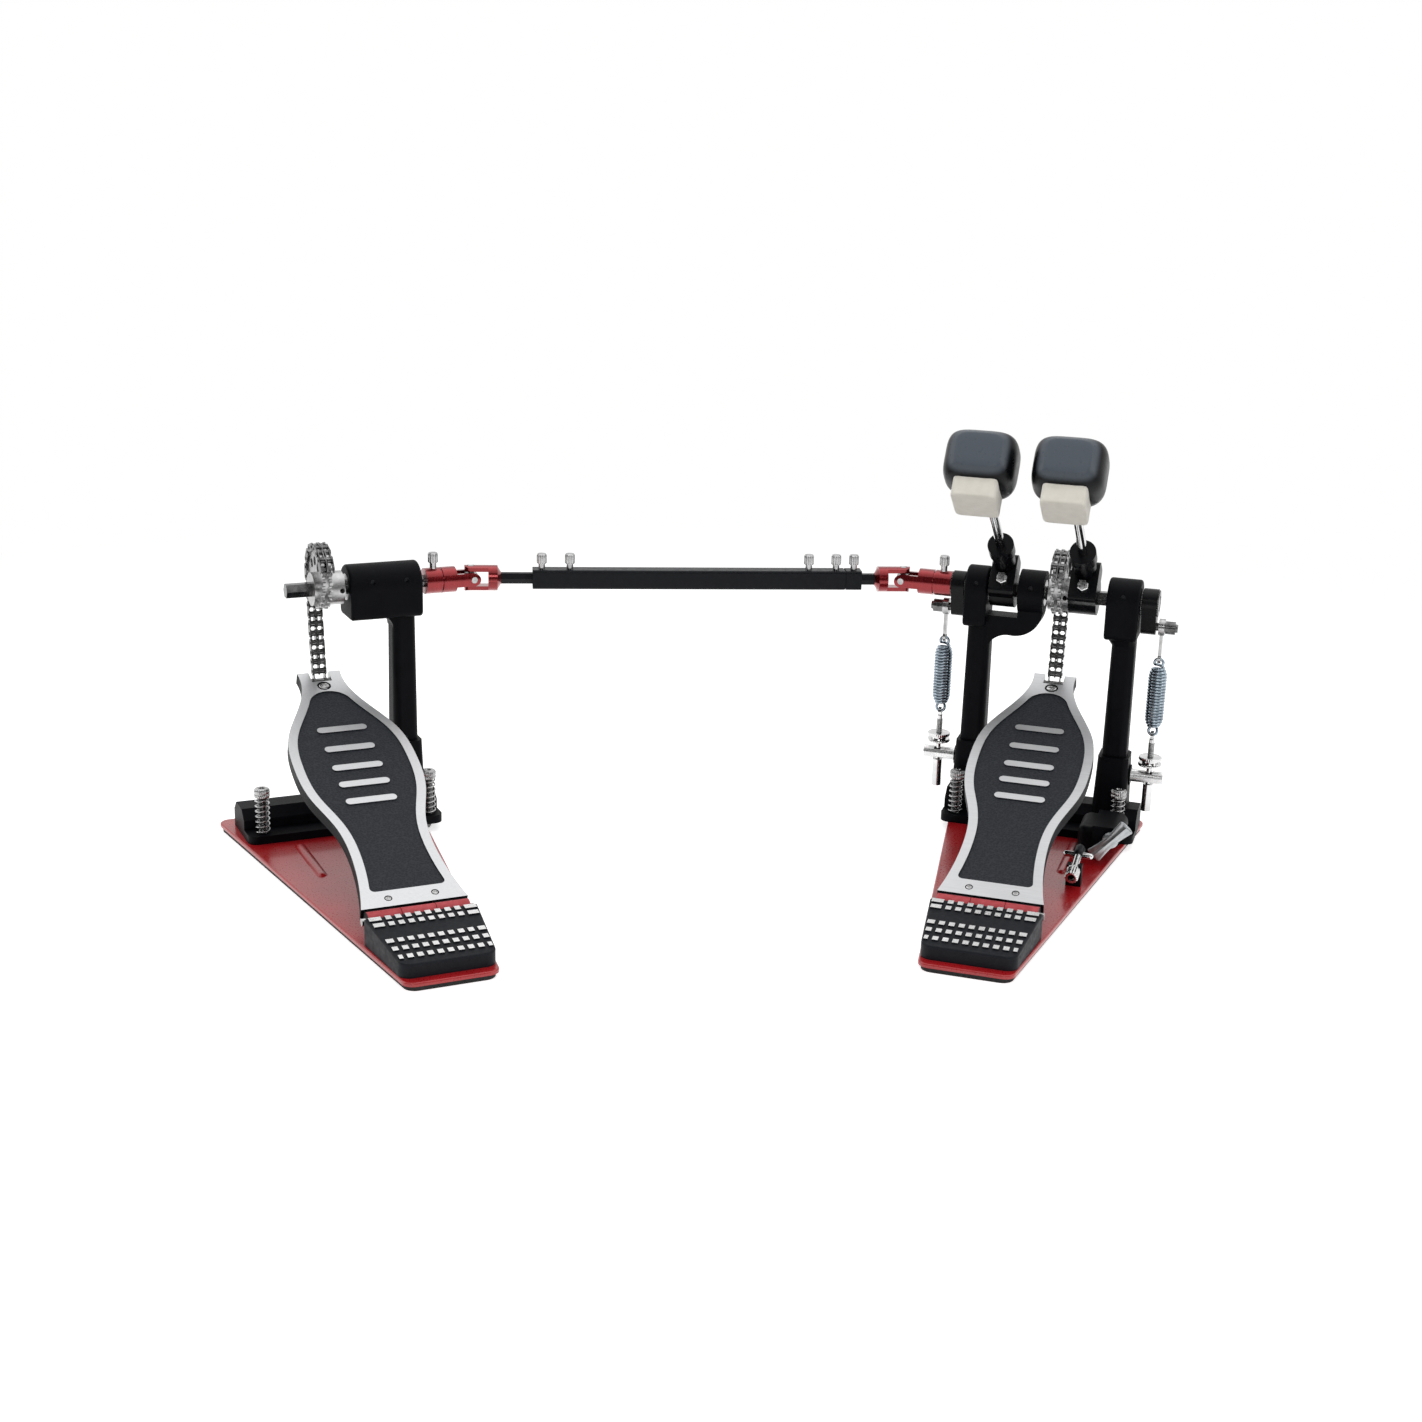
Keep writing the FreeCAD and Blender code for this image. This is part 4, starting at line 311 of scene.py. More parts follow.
def brushed_silver():
    """Board rim: cast aluminium brushed across the board, in fine streaks."""
    material, tree, surface, place = shader("brushed_silver", grey(0.54), 1.0, 0.4)
    streaks = noise(tree, stretched(tree, place, (0.03, 0.0005, 0.0005)), 1.0, 3.0)
    tone = ramp(tree, streaks, (0.48, 0.485, 0.495), (0.57, 0.575, 0.585))
    tree.links.new(tone, surface.inputs["Base Color"])
    tree.links.new(spread(tree, streaks, 0.34, 0.44), surface.inputs["Roughness"])
    raised(tree, surface, streaks, 0.00003, 0.3)
    return material


def grained_charcoal():
    """Sunk tread: charcoal coat with a leather-like grain."""
    material, tree, surface, place = shader("grained_charcoal", (0.018, 0.020, 0.026), 0.0, 0.62)
    grain = cells(tree, place, 620.0)
    fine = noise(tree, place, 1500.0)
    tone = ramp(tree, grain, (0.010, 0.0115, 0.015), (0.027, 0.030, 0.037), 0.1, 0.8)
    tree.links.new(tone, surface.inputs["Base Color"])
    tree.links.new(spread(tree, fine, 0.46, 0.68), surface.inputs["Roughness"])
    surface.inputs["Specular IOR Level"].default_value = 0.18
    raised(tree, surface, grain, 0.00035, 0.7)
    return material


def rubber():
    """Floor pad: matt black rubber with a pebbled skin."""
    material, tree, surface, place = shader("rubber_pad", grey(0.012), 0.0, 0.82)
    pebble = cells(tree, place, 420.0)
    tree.links.new(ramp(tree, pebble, grey(0.009), grey(0.019)), surface.inputs["Base Color"])
    tree.links.new(spread(tree, noise(tree, place, 800.0), 0.72, 0.92), surface.inputs["Roughness"])
    raised(tree, surface, pebble, 0.0004, 0.6)
    return material


def felt():
    """Cream wool felt: matted fibres, faint flecks and a soft sheen."""
    material, tree, surface, place = shader("cream_felt", (0.85, 0.81, 0.72), 0.0, 0.95)
    mat = noise(tree, place, 900.0, 6.0, 0.7, 1.5)
    cloud = noise(tree, place, 140.0, 4.0)
    tree.links.new(ramp(tree, cloud, (0.81, 0.77, 0.68), (0.89, 0.85, 0.76)), surface.inputs["Base Color"])
    surface.inputs["Sheen Weight"].default_value = 0.4
    surface.inputs["Sheen Roughness"].default_value = 0.6
    surface.inputs["Specular IOR Level"].default_value = 0.15
    raised(tree, surface, mat, 0.0006, 0.8)
    return material


CASTING = black_casting()
GLOSS = moulded_black("gloss_black", (0.0016, 0.0018, 0.0026), (0.003, 0.0033, 0.0045), 0.3, 480.0, 0.16)
SHELL = head_shell()
SATIN = moulded_black("satin_black", (0.003, 0.0036, 0.0056), (0.006, 0.007, 0.010), 0.36, 1200.0, 0.16)
HEEL = moulded_black("heel_black", (0.008, 0.009, 0.012), (0.013, 0.0145, 0.018), 0.5, 1100.0, 0.12)
RED_PAINT = red_paint()
RED_METAL = red_anodised()
RED_MATT = red_matt()
RIM = brushed_silver()
GRAIN = grained_charcoal()
RUBBER = rubber()
FELT = felt()
CHAIN_STEEL = metal("chain_steel", grey(0.07), grey(0.22), (0.16, 0.30), 900.0)
STEEL = metal("bare_steel", grey(0.30), grey(0.50), (0.16, 0.28), 700.0)
CHROME = metal("chrome", grey(0.56), grey(0.72), (0.07, 0.15), 400.0, 0.00002)
ZINC = metal("blue_zinc", (0.24, 0.29, 0.335), (0.40, 0.47, 0.53), (0.15, 0.25), 800.0)
CAST_SILVER = metal("cast_silver", grey(0.36), grey(0.51), (0.24, 0.40), 1100.0, 0.00015)
STUD = metal("polished_stud", grey(0.70), grey(0.84), (0.22, 0.38), 900.0)
DIE_CAST = metal("die_cast", (0.36, 0.38, 0.39), (0.50, 0.52, 0.53), (0.30, 0.42), 1300.0, 0.0001)


# Surfaces
def grid_faces(rows, columns):
    """Corners of every four-sided face of a grid of rings; each ring's last point joins its first."""
    i, j = np.meshgrid(np.arange(rows - 1), np.arange(columns), indexing="ij")
    down, right = i + 1, (j + 1) % columns
    here, below = i * columns, down * columns
    return np.stack([here + j, here + right, below + right, below + j], -1).reshape(-1, 4)


def lathe(profile, at, along, sides=48, knurl=None, thread=None):
    """A (radius, height) profile turned about a line through at: each height is a ring of that radius.
    knurl adds a ripple of (count, depth) round the ring where the profile's third value is 1;
    thread adds a helical ridge of (pitch, depth) where its fourth value is 1."""
    profile = np.array([tuple(row) + (0,) * (4 - len(row)) for row in profile], float)
    along = np.asarray(along, float) / np.linalg.norm(along)
    across = np.cross(along, [1.0, 0, 0] if abs(along[0]) < 0.9 else [0, 1.0, 0])
    across /= np.linalg.norm(across)
    other = np.cross(along, across)
    angle = np.arange(sides) * TURN / sides
    radius = np.repeat(profile[:, :1], sides, 1)
    if knurl:
        count, depth = knurl
        radius = radius + profile[:, 2:3] * depth * (np.abs(np.sin(angle * count / 2)) - 1)[None]
    if thread:
        pitch, depth = thread
        phase = profile[:, 1:2] / pitch - angle[None] / TURN
        radius = radius - profile[:, 3:4] * depth * 2 * np.abs(phase - np.floor(phase + 0.5))
    ring = np.cos(angle)[:, None] * across + np.sin(angle)[:, None] * other
    points = np.asarray(at, float) + profile[:, 1][:, None, None] * along + radius[..., None] * ring[None]
    return points.reshape(-1, 3), grid_faces(len(profile), sides)


def wire(path, reference, radius, sides=10):
    """A round wire: a circle carried along the path, squared to it and turned to the reference direction."""
    ahead = np.gradient(path, axis=0)
    ahead /= np.linalg.norm(ahead, axis=1)[:, None]
    across = np.cross(reference, ahead)
    across /= np.linalg.norm(across, axis=1)[:, None]
    other = np.cross(ahead, across)
    angle = (np.arange(sides) * TURN / sides)[None, :, None]
    points = path[:, None] + radius * (np.cos(angle) * across[:, None] + np.sin(angle) * other[:, None])
    ends = np.repeat(path[[0, -1]][:, None], sides, 1)
    points = np.concatenate([ends[:1], points, ends[1:]])
    return points.reshape(-1, 3), grid_faces(len(points), sides)


HERMITE_REACH = 1.17


def hermite(points, ways, steps):
    """Smooth line through points with the given directions: a cubic between each two, sampled evenly."""
    points, ways = np.array(points, float), np.array(ways, float)
    ways /= np.linalg.norm(ways, axis=1)[:, None]
    t = (np.arange(steps) / steps)[None, :, None]
    a, b = points[:-1, None], points[1:, None]
    reach = HERMITE_REACH * np.linalg.norm(b - a, axis=2, keepdims=True)
    ma, mb = ways[:-1, None] * reach, ways[1:, None] * reach
    line = ((2 * t**3 - 3 * t**2 + 1) * a + (t**3 - 2 * t**2 + t) * ma
            + (3 * t**2 - 2 * t**3) * b + (t**3 - t**2) * mb)
    return np.concatenate([line.reshape(-1, 3), points[-1:]])


POLE_MERGE = 1e-7


def piece(name, shells, finishes, sharp):
    """One object at the origin, from shells of points in mm, faces and finish number; poles are merged."""
    points, faces, marks, start = [], [], [], 0
    for shell_points, shell_faces, mark in shells:
        points.append(np.asarray(shell_points) * MM)
        faces += (np.asarray(shell_faces) + start).tolist()
        marks.append(np.full(len(shell_faces), mark))
        start += len(shell_points)
    mesh = bpy.data.meshes.new(name)
    mesh.from_pydata(np.concatenate(points).tolist(), [], faces)
    mesh.polygons.foreach_set("material_index", np.concatenate(marks).astype(np.int32))
    for finish in finishes:
        mesh.materials.append(finish)
    work = bmesh.new()
    work.from_mesh(mesh)
    bmesh.ops.remove_doubles(work, verts=work.verts, dist=POLE_MERGE)
    bmesh.ops.recalc_face_normals(work, faces=work.faces)
    work.to_mesh(mesh)
    work.free()
    mesh.shade_smooth()
    mesh.set_sharp_from_angle(angle=math.radians(sharp))
    thing = bpy.data.objects.new(name, mesh)
    bpy.context.scene.collection.objects.link(thing)
    return thing


# Return springs
SPRING_RADIUS, SPRING_LOW, SPRING_HIGH, SPRING_TURNS, SPRING_WIRE = 6.7, 103.5, 154.5, 19.5, 1.2
SPRING_TAPER, SPRING_DRAW = 3.0, 2.4
HOOK_RISE, HOOK_RADIUS = 4.5, 3.6
HOOK_MOUTH = math.radians(50.0)
HOOK_LEAD_SHARE, HOOK_LEAD_RISE = 0.72, 1.5
COIL_STEPS, HOOK_STEPS = 28, 12


def spring_line(x):
    """A helix from -X that draws in over its end turns, then a hook loop above it; the same hook, turned half
    round, below."""
    turns = np.linspace(0, SPRING_TURNS, int(SPRING_TURNS * COIL_STEPS) + 1)
    angle = np.pi + turns * TURN
    inward = 1 - np.clip(np.minimum(turns, SPRING_TURNS - turns) / SPRING_TAPER, 0, 1)
    radius = SPRING_RADIUS - SPRING_DRAW * inward ** 2
    coil = np.stack([x + radius * np.cos(angle), radius * np.sin(angle),
                     SPRING_LOW + (SPRING_HIGH - SPRING_LOW) * turns / SPRING_TURNS], 1)
    centre = SPRING_HIGH + HOOK_RISE
    lift, side = HOOK_RADIUS * math.sin(HOOK_MOUTH), HOOK_RADIUS * math.cos(HOOK_MOUTH)
    lead_in = (x, SPRING_RADIUS * HOOK_LEAD_SHARE, SPRING_HIGH + HOOK_LEAD_RISE)
    stations = [coil[-1], lead_in, (x - HOOK_RADIUS, 0, centre), (x, 0, centre + HOOK_RADIUS),
                (x + HOOK_RADIUS, 0, centre), (x + side, 0, centre - lift)]
    ways = [coil[-1] - coil[-2], (-1, 0, 0.35), (0, 0, 1), (1, 0, 0), (0, 0, -1), (-lift, 0, -side)]
    hook = hermite(stations, ways, HOOK_STEPS)[1:]
    share = np.clip(np.arange(len(hook)) / (2.0 * HOOK_STEPS), 0, 1)[:, None]
    upper_reference = (1 - share) * np.array([0, 0, 1.0]) + share * np.array([0, 1.0, 0])
    turned = np.array([-1.0, 1.0, -1.0])
    shift = np.array([2 * x, 0, SPRING_LOW + SPRING_HIGH])
    lower = (hook * turned + shift)[::-1]
    lower_reference = upper_reference[::-1]
    line = np.concatenate([lower, coil, hook])
    reference = np.concatenate([lower_reference, np.tile([0, 0, 1.0], (len(coil), 1)), upper_reference])
    return line, reference


def return_springs():
    """A round wire along each spring's line, stretched between its stirrup and its adjuster."""
    for side, x in SPRINGS:
        line, reference = spring_line(x)
        points, faces = wire(line, reference, SPRING_WIRE)
        spring = piece(side + "_return_spring", [(points, faces, 0)], [ZINC], 60.0)
        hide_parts(side + "_spring")
        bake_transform(spring)


# Spurs
SPUR_Y = -28.0
SPUR_COIL_RADIUS, SPUR_COIL_LOW, SPUR_COIL_HIGH, SPUR_TURNS, SPUR_WIRE = 5.5, 15.0, 44.0, 6.5, 0.7
SPUR_COIL_STEPS = 32
SPUR_POINT = [(0.0, 0.6), (0.8, 0.6), (3.6, 5.6)]
SPUR_SHANK = [(3.95, z, 0, 1) for z in np.linspace(6.2, 44.2, 260)] + [(3.4, 45.0)]
SPUR_HEAD = [(3.0, 44.8), (5.6, 44.8), (6.3, 45.4, 1), (6.5, 46.2, 1), (6.5, 47.6, 1), (6.1, 48.0),
             (6.1, 48.5), (6.5, 48.9, 1), (6.5, 50.8, 1), (6.2, 51.6, 1), (5.2, 52.4), (2.6, 52.5),
             (2.2, 51.4), (0.0, 51.3)]
PRIMARY_SPURS_X, SLAVE_SPURS_X = (-72.2, 67.0), (-60.5, 81.5)


def spurs():
    """Each spur: a threaded shank with a point, a knurled head with a groove, and a helix wire round it."""
    turns = np.linspace(0, SPUR_TURNS, int(SPUR_TURNS * SPUR_COIL_STEPS) + 1)
    angle = np.pi + turns * TURN
    height = SPUR_COIL_LOW + (SPUR_COIL_HIGH - SPUR_COIL_LOW) * turns / SPUR_TURNS
    for name, place, spots in (("primary", on_primary, PRIMARY_SPURS_X), ("slave", on_slave, SLAVE_SPURS_X)):
        body = name + "_spurs"
        shells = []
        for x in spots:
            at = (x, SPUR_Y, 0.0)
            points, faces = lathe(SPUR_POINT + SPUR_SHANK, at, (0, 0, 1), 28, thread=(1.25, 0.55))
            shells.append((place(points), faces, 0))
            points, faces = lathe(SPUR_HEAD, at, (0, 0, 1), 96, knurl=(24, 0.5))
            shells.append((place(points), faces, 1))
            across, back = SPUR_COIL_RADIUS * np.cos(angle), SPUR_COIL_RADIUS * np.sin(angle)
            coil = np.stack([x + across, SPUR_Y + back, height], 1)
            points, faces = wire(coil, np.tile([0, 0, 1.0], (len(coil), 1)), SPUR_WIRE)
            shells.append((place(points), faces, 2))
        screw = piece(name + "_spur_screws", shells, [CHAIN_STEEL, STEEL, STEEL], 40.0)
        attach(screw, body)
        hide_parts(name + "_spurs")


# Beater heads
HEAD_LOW, HEAD_LONG, HEAD_WIDE, HEAD_DEEP, HEAD_SHIFT = 165.0, 57.0, 28.25, 22.5, 2.5
HEAD_SIDES, HEAD_SQUARE, HEAD_SHIFT_BY = 120, 4.2, 0.3
FOOT_CAP = (0.32, 0.94)
CROWN_CAP = ((0.96, 0.30), (0.90, 0.52), (0.6, 0.65), (0.0, 0.7))
FELT_WIDE, FELT_TALL, FELT_MID, FELT_FACE = 17.5, 19.0, 195.0, -17.0
FELT_SIDES, FELT_SQUARE = 128, 9.0
FELT_DEPTHS = (4.0, 4.0, -4.0, FELT_FACE + 2.0, FELT_FACE + 1.0, FELT_FACE + 0.35, FELT_FACE,
               FELT_FACE - 0.2, FELT_FACE - 0.3)
FELT_INSETS = (FELT_WIDE, 0.0, 0.0, 0.0, 0.2, 0.7, 1.6, 8.0, FELT_WIDE)


def head_girth(share):
    """Girth at a share of the head's length: full at the middle, falling as a power toward each end."""
    below = np.clip(1 - share / 0.5, 0, 1)
    above = np.clip((share - 0.5) / 0.5, 0, 1)
    return 1 - 0.50 * below ** 2.2 - 0.36 * above ** 3.8


def squircle(sides, fullness):
    """A circle of so many sides pushed out toward a square: each axis keeps its sign and is raised to a power
    below one."""
    angle = np.arange(sides) * TURN / sides
    c, s = np.cos(angle), np.sin(angle)
    return np.sign(c) * np.abs(c) ** (2 / fullness), np.sign(s) * np.abs(s) ** (2 / fullness)


def head_rings(x):
    """Squircle rings of the head's girth along the rod, the foot and crown closed by rings that shrink."""
    share = (1 - np.cos(np.linspace(0, np.pi, 61))) / 2
    girth = head_girth(share)[:, None]
    cx, cy = squircle(HEAD_SIDES, HEAD_SQUARE)
    middle = ROD_OFFSET + HEAD_SHIFT * np.clip(share / HEAD_SHIFT_BY, 0, 1)[:, None]
    height = np.repeat((HEAD_LOW + HEAD_LONG * share)[:, None], HEAD_SIDES, 1)
    rings = np.stack([x + HEAD_WIDE * girth * cx, middle + HEAD_DEEP * girth * cy, height], -1)
    foot = np.array([x, ROD_OFFSET, HEAD_LOW])
    crown = np.array([x, ROD_OFFSET + HEAD_SHIFT, HEAD_LOW + HEAD_LONG])
    low = [foot + (rings[:1] - foot) * k for k in FOOT_CAP]
    high = [crown + (rings[-1:] - crown) * k + np.array([0, 0, rise]) for k, rise in CROWN_CAP]
    return np.concatenate(low + [rings] + high)


def felt_rings(x):
    """Squircle rings of a square slab out from the shell's back, drawn in over the last of its depth."""
    cx, cy = squircle(FELT_SIDES, FELT_SQUARE)
    inset = np.array(FELT_INSETS)[:, None]
    half, tall = FELT_WIDE - inset, FELT_TALL * (1 - inset / FELT_WIDE)
    depth = np.repeat(np.array(FELT_DEPTHS)[:, None], FELT_SIDES, 1)
    return np.stack([x + half * cx, depth, FELT_MID + tall * cy], -1)


def beater_heads():
    """Moulded shell and felt pad on each beater rod."""
    for name, x, body in (("right", RIGHT_HUB_X, "right_beater"), ("left", LEFT_HUB_X, "left_beater")):
        rings = head_rings(x)
        faces = grid_faces(len(rings), HEAD_SIDES)
        shell = piece(name + "_beater_shell", [(on_rod(rings.reshape(-1, 3)), faces, 0)], [SHELL], 50.0)
        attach(shell, body)
        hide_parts(name + "_beater_head")
        slab = felt_rings(x)
        faces = grid_faces(len(slab), FELT_SIDES)
        pad = piece(name + "_felt", [(on_rod(slab.reshape(-1, 3)), faces, 0)], [FELT], 60.0)
        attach(pad, body)


# Key screws, thumb nuts, wing screw and drum key
KEY_SCREW = [(2.85, 0.02), (2.85, 4.4), (3.3, 4.45), (4.15, 4.9, 1), (4.3, 5.4, 1), (4.3, 7.4, 1),
             (4.3, 9.6, 1), (4.3, 11.6, 1), (4.05, 12.5, 1), (3.4, 13.1), (2.0, 13.2), (0.0, 13.2)]
LINK_LONG, TUBE_START, TUBE_END, TUBE_TOP = 372.87, 37.7, 52.2, 8.25
TUBE_SCREWS_NEAR, TUBE_SCREWS_FAR = (6.2, 21.7, 45.5), (7.8, 31.7)
YOKE_TOP = 11.0
PRIMARY_SCREW_X, SLAVE_SCREW_X = -100.2, 96.5


def key_screws():
    """Knurled sleeves turned about each key screw: a plain stem under a rippled head."""
    near = [TUBE_START + reach for reach in TUBE_SCREWS_NEAR]
    far = [LINK_LONG - TUBE_END - reach for reach in TUBE_SCREWS_FAR]
    sets = (("tube", "linkage_tube", on_link, [(u, 0.0, TUBE_TOP) for u in near + far]),
            ("primary_joint", "left_drive", on_primary, [(PRIMARY_SCREW_X, 0.0, SHAFT_Z + YOKE_TOP)]),
            ("slave_joint", "slave_drive", on_slave, [(SLAVE_SCREW_X, 0.0, SHAFT_Z + YOKE_TOP)]))
    for name, body, place, spots in sets:
        shells = []
        for spot in spots:
            points, faces = lathe(KEY_SCREW, spot, (0, 0, 1), 98, knurl=(14, 0.75))
            shells.append((place(points), faces, 0))
        screws = piece(name + "_key_screws", shells, [STEEL], 40.0)
        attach(screws, body)


THUMB_NUT = [(2.35, 67.9), (9.3, 67.9), (9.85, 68.3, 1), (9.85, 70.3, 1), (9.5, 70.7), (6.9, 70.9),
             (6.9, 73.1), (9.5, 73.3), (9.85, 73.7, 1), (9.85, 75.7, 1), (9.3, 76.1), (2.35, 76.1)]
ADJUSTER_STEM = [(2.36, 76.0)] + [(2.8, z, 0, 1) for z in np.linspace(76.3, 88.0, 150)] + [(2.36, 88.4)]


def spring_adjusters():
    """Thumb nut: two rippled discs and a waist, turned about a rod whose thread is a helical ridge."""
    for side, x in SPRINGS:
        nut_points, nut_faces = lathe(THUMB_NUT, (x, 0, 0), (0, 0, 1), 128, knurl=(32, 0.3))
        rod_points, rod_faces = lathe(ADJUSTER_STEM, (x, 0, 0), (0, 0, 1), 24, thread=(0.9, 0.42))
        shells = [(nut_points, nut_faces, 0), (rod_points, rod_faces, 1)]
        nut = piece(side + "_thumb_nut", shells, [CHROME, STEEL], 40.0)
        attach(nut, side + "_spring_tail")


BOARD_SCREWS = ((0.0, 271.56, 4.15), (-18.0, 8.5, 2.25), (18.0, 8.5, 2.25))
SCREW_RINGS, SCREW_SIDES = 27, 96
SCREW_RISE, SCREW_CURVE, SCREW_SINK, SCREW_SKIRT = 0.16, 0.96, 0.15, 0.9
CROSS_WIDE, CROSS_LONG, CROSS_FALL, CROSS_END, CROSS_DEEP = 0.17, 0.62, 1.6, 0.12, 0.88


def board_screws():
    """A low dome on rings about the screw, with a cross sunk where a point lies near either arm's line."""
    share = np.linspace(0, 1, SCREW_RINGS)[:, None]
    angle = np.arange(SCREW_SIDES) * TURN / SCREW_SIDES
    for pedal, place in (("primary", on_primary), ("slave", on_slave)):
        shells = []
        for x, u, radius in BOARD_SCREWS:
            px, py = radius * share * np.cos(angle), radius * share * np.sin(angle)
            beside = np.minimum(np.abs(px), np.abs(py)) / (CROSS_WIDE * radius)
            along = np.maximum(np.abs(px), np.abs(py)) / (CROSS_LONG * radius)
            sunk = np.clip(2 - CROSS_FALL * beside, 0, 1) * np.clip((1 - along) / CROSS_END, 0, 1)
            dome = np.sqrt(np.clip(1 - SCREW_CURVE * share ** 2, 0, 1))
            rise = SCREW_RISE * radius * dome * np.ones_like(px)
            head = np.stack([x + px, u + py, -SCREW_SINK + rise * (1 - CROSS_DEEP * sunk)], -1)
            skirt = np.concatenate([head, head[-1:] - np.array([0, 0, SCREW_SKIRT])])
            points = place(on_board(skirt.reshape(-1, 3)))
            shells.append((points, grid_faces(len(skirt), SCREW_SIDES), 0))
        heads = piece(pedal + "_board_screws", shells, [STEEL], 30.0)
        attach(heads, pedal + "_footboard")


WASHER = [(6.6, 0.0), (10.4, 0.0), (11.2, 0.15, 1), (11.2, 1.15, 1), (10.4, 1.3), (6.6, 1.3), (6.6, 0.0)]
WASHERS = (("right", 69.2, "primary_drive"), ("right_outer", 82.9, "primary_drive"),
           ("left", -80.0, "left_drive"))


def rocker_washers():
    """Serrated washers beside the rockers: a ring with a rippled edge, turned about the shaft."""
    for side, x, body in WASHERS:
        points, faces = lathe(WASHER, (x, 0, SHAFT_Z), (1, 0, 0), 144, knurl=(36, 0.7))
        washer = piece(side + "_serrated_washer", [(points, faces, 0)], [CHAIN_STEEL], 30.0)
        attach(washer, body)


HUB_NUT = [(2.75, -0.4), (4.9, -0.4), (4.9, 3.0), (4.4, 3.5), (2.75, 3.5), (2.75, -0.4)]
HUB_FACE = 20.0


def hub_nuts():
    """Six-sided nut round each hub's key bolt: a short ring with six corners."""
    for side, x, body in (("right", RIGHT_HUB_X, "primary_drive"), ("left", LEFT_HUB_X, "left_drive")):
        points, faces = lathe(HUB_NUT, on_rod([[x, 0, HUB_FACE]])[0], rod_way(), 6)
        nut = piece(side + "_hub_nut", [(points, faces, 0)], [STUD], 30.0)
        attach(nut, body)


SET_SCREW = [(2.05, 0.0), (2.05, 1.5), (1.95, 1.65), (1.7, 1.65), (1.65, 0.2), (0.0, 0.2)]
SET_SCREW_Y, SET_SCREW_RISE = -15.7, 6.0
FRAME_SCREWS_X, SLAVE_SCREWS_X = (55.35, -22.25, -68.8), (39.7, 68.5)


def set_screws():
    """Socket set screw in each housing: a disc with a round hollow, turned about the hole's line."""
    for name, place, spots, body in (("primary", on_primary, FRAME_SCREWS_X, "primary_frame"),
                                     ("slave", on_slave, SLAVE_SCREWS_X, "slave_frame")):
        shells = []
        for x in spots:
            points, faces = lathe(SET_SCREW, (x, SET_SCREW_Y, SHAFT_Z + SET_SCREW_RISE), (0, -1, 0), 32)
            shells.append((place(points), faces, 0))
        screws = piece(name + "_set_screws", shells, [SATIN], 30.0)
        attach(screws, body)


WING_AT, WING_LONG, WING_WIDE, WING_THICK = np.array([70.0, -97.5, 29.5]), 20.0, 7.0, 2.3
WING_TILT = math.radians(48.0)
WING_STEPS, WING_SIDES, WING_SQUARE = 81, 64, 5.0
WING_ROUND_FROM, WING_ROUND_OVER = 0.90, 0.10
WAIST_SHARE, WAIST_POWER, THICK_SHARE = 0.66, 1.6, 0.78
WING_RIDGE, RIDGE_SPREAD = 1.1, 0.2
WING_HUB = [(0.0, -1.6), (4.4, -1.4), (6.0, -0.4), (6.6, 1.5), (6.6, 4.0), (6.2, 4.5), (6.2, 5.9), (4.0, 6.4)]
WING_ROD = [(3.6, 4.0)] + [(3.98, y, 0, 1) for y in np.linspace(6.2, 50.0, 260)] + [(0.0, 50.4)]


def wing_screw():
    """Blade: flat soft-cornered sections along its length, waisted at the middle, with round ends and a
    bell-shaped ridge down the front; a turned hub and a threaded screw behind it."""
    s = np.sin(np.linspace(-np.pi / 2, np.pi / 2, WING_STEPS))
    outer = np.clip((np.abs(s) - WING_ROUND_FROM) / WING_ROUND_OVER, 0, 1)
    ends = np.sqrt(np.clip(1 - outer ** 2, 0, 1))
    wide = WING_WIDE * (WAIST_SHARE + (1 - WAIST_SHARE) * np.abs(s) ** WAIST_POWER) * ends
    thick = WING_THICK * (THICK_SHARE + (1 - THICK_SHARE) * np.cos(s * np.pi)) * ends
    cx, cy = squircle(WING_SIDES, WING_SQUARE)
    bell = np.exp(-(cx / RIDGE_SPREAD) ** 2) * np.clip(-cy, 0, 1)
    ridge = -WING_RIDGE * ends[:, None] * bell[None]
    long_way = np.array([math.cos(WING_TILT), 0, math.sin(WING_TILT)])
    wide_way = np.array([-math.sin(WING_TILT), 0, math.cos(WING_TILT)])
    blade = (WING_AT + (WING_LONG * s)[:, None, None] * long_way + (wide[:, None] * cx)[..., None] * wide_way
             + (thick[:, None] * cy + ridge)[..., None] * np.array([0, 1.0, 0]))
    hub_points, hub_faces = lathe(WING_HUB, WING_AT, (0, 1, 0), 56)
    rod_points, rod_faces = lathe(WING_ROD, WING_AT, (0, 1, 0), 28, thread=(1.25, 0.5))
    shells = [(blade.reshape(-1, 3), grid_faces(len(s), WING_SIDES), 0), (hub_points, hub_faces, 0),
              (rod_points, rod_faces, 1)]
    wing = piece("wing_nut", shells, [DIE_CAST, STEEL], 40.0)
    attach(wing, "wing_screw")
    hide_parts("wing_screw")


KEY_TOP, KEY_TIP = np.array([49.0, -130.0, 26.0]), np.array([49.0, -166.0, 19.0])
KEY_BARREL = [(3.0, 7.6), (3.0, 0.0), (4.6, 0.0), (5.4, 0.5, 1), (5.6, 1.2, 1), (5.6, 5.0, 1), (5.6, 9.0, 1),
              (5.6, 11.4, 1), (5.2, 12.4, 1), (4.0, 12.9), (3.05, 13.0), (3.05, 34.4)]
KEY_GRIP = [(3.0, 34.0), (4.0, 34.6), (4.5, 35.6), (4.6, 38.0), (4.4, 43.0), (4.4, 46.0), (3.8, 47.8),
            (2.2, 48.9), (0.0, 49.1)]
KEY_BAR = [(2.5, -7.0), (2.8, 0.0), (2.5, 7.0)]
BALL_RADIUS, BALL_REACH = 2.6, 9.6


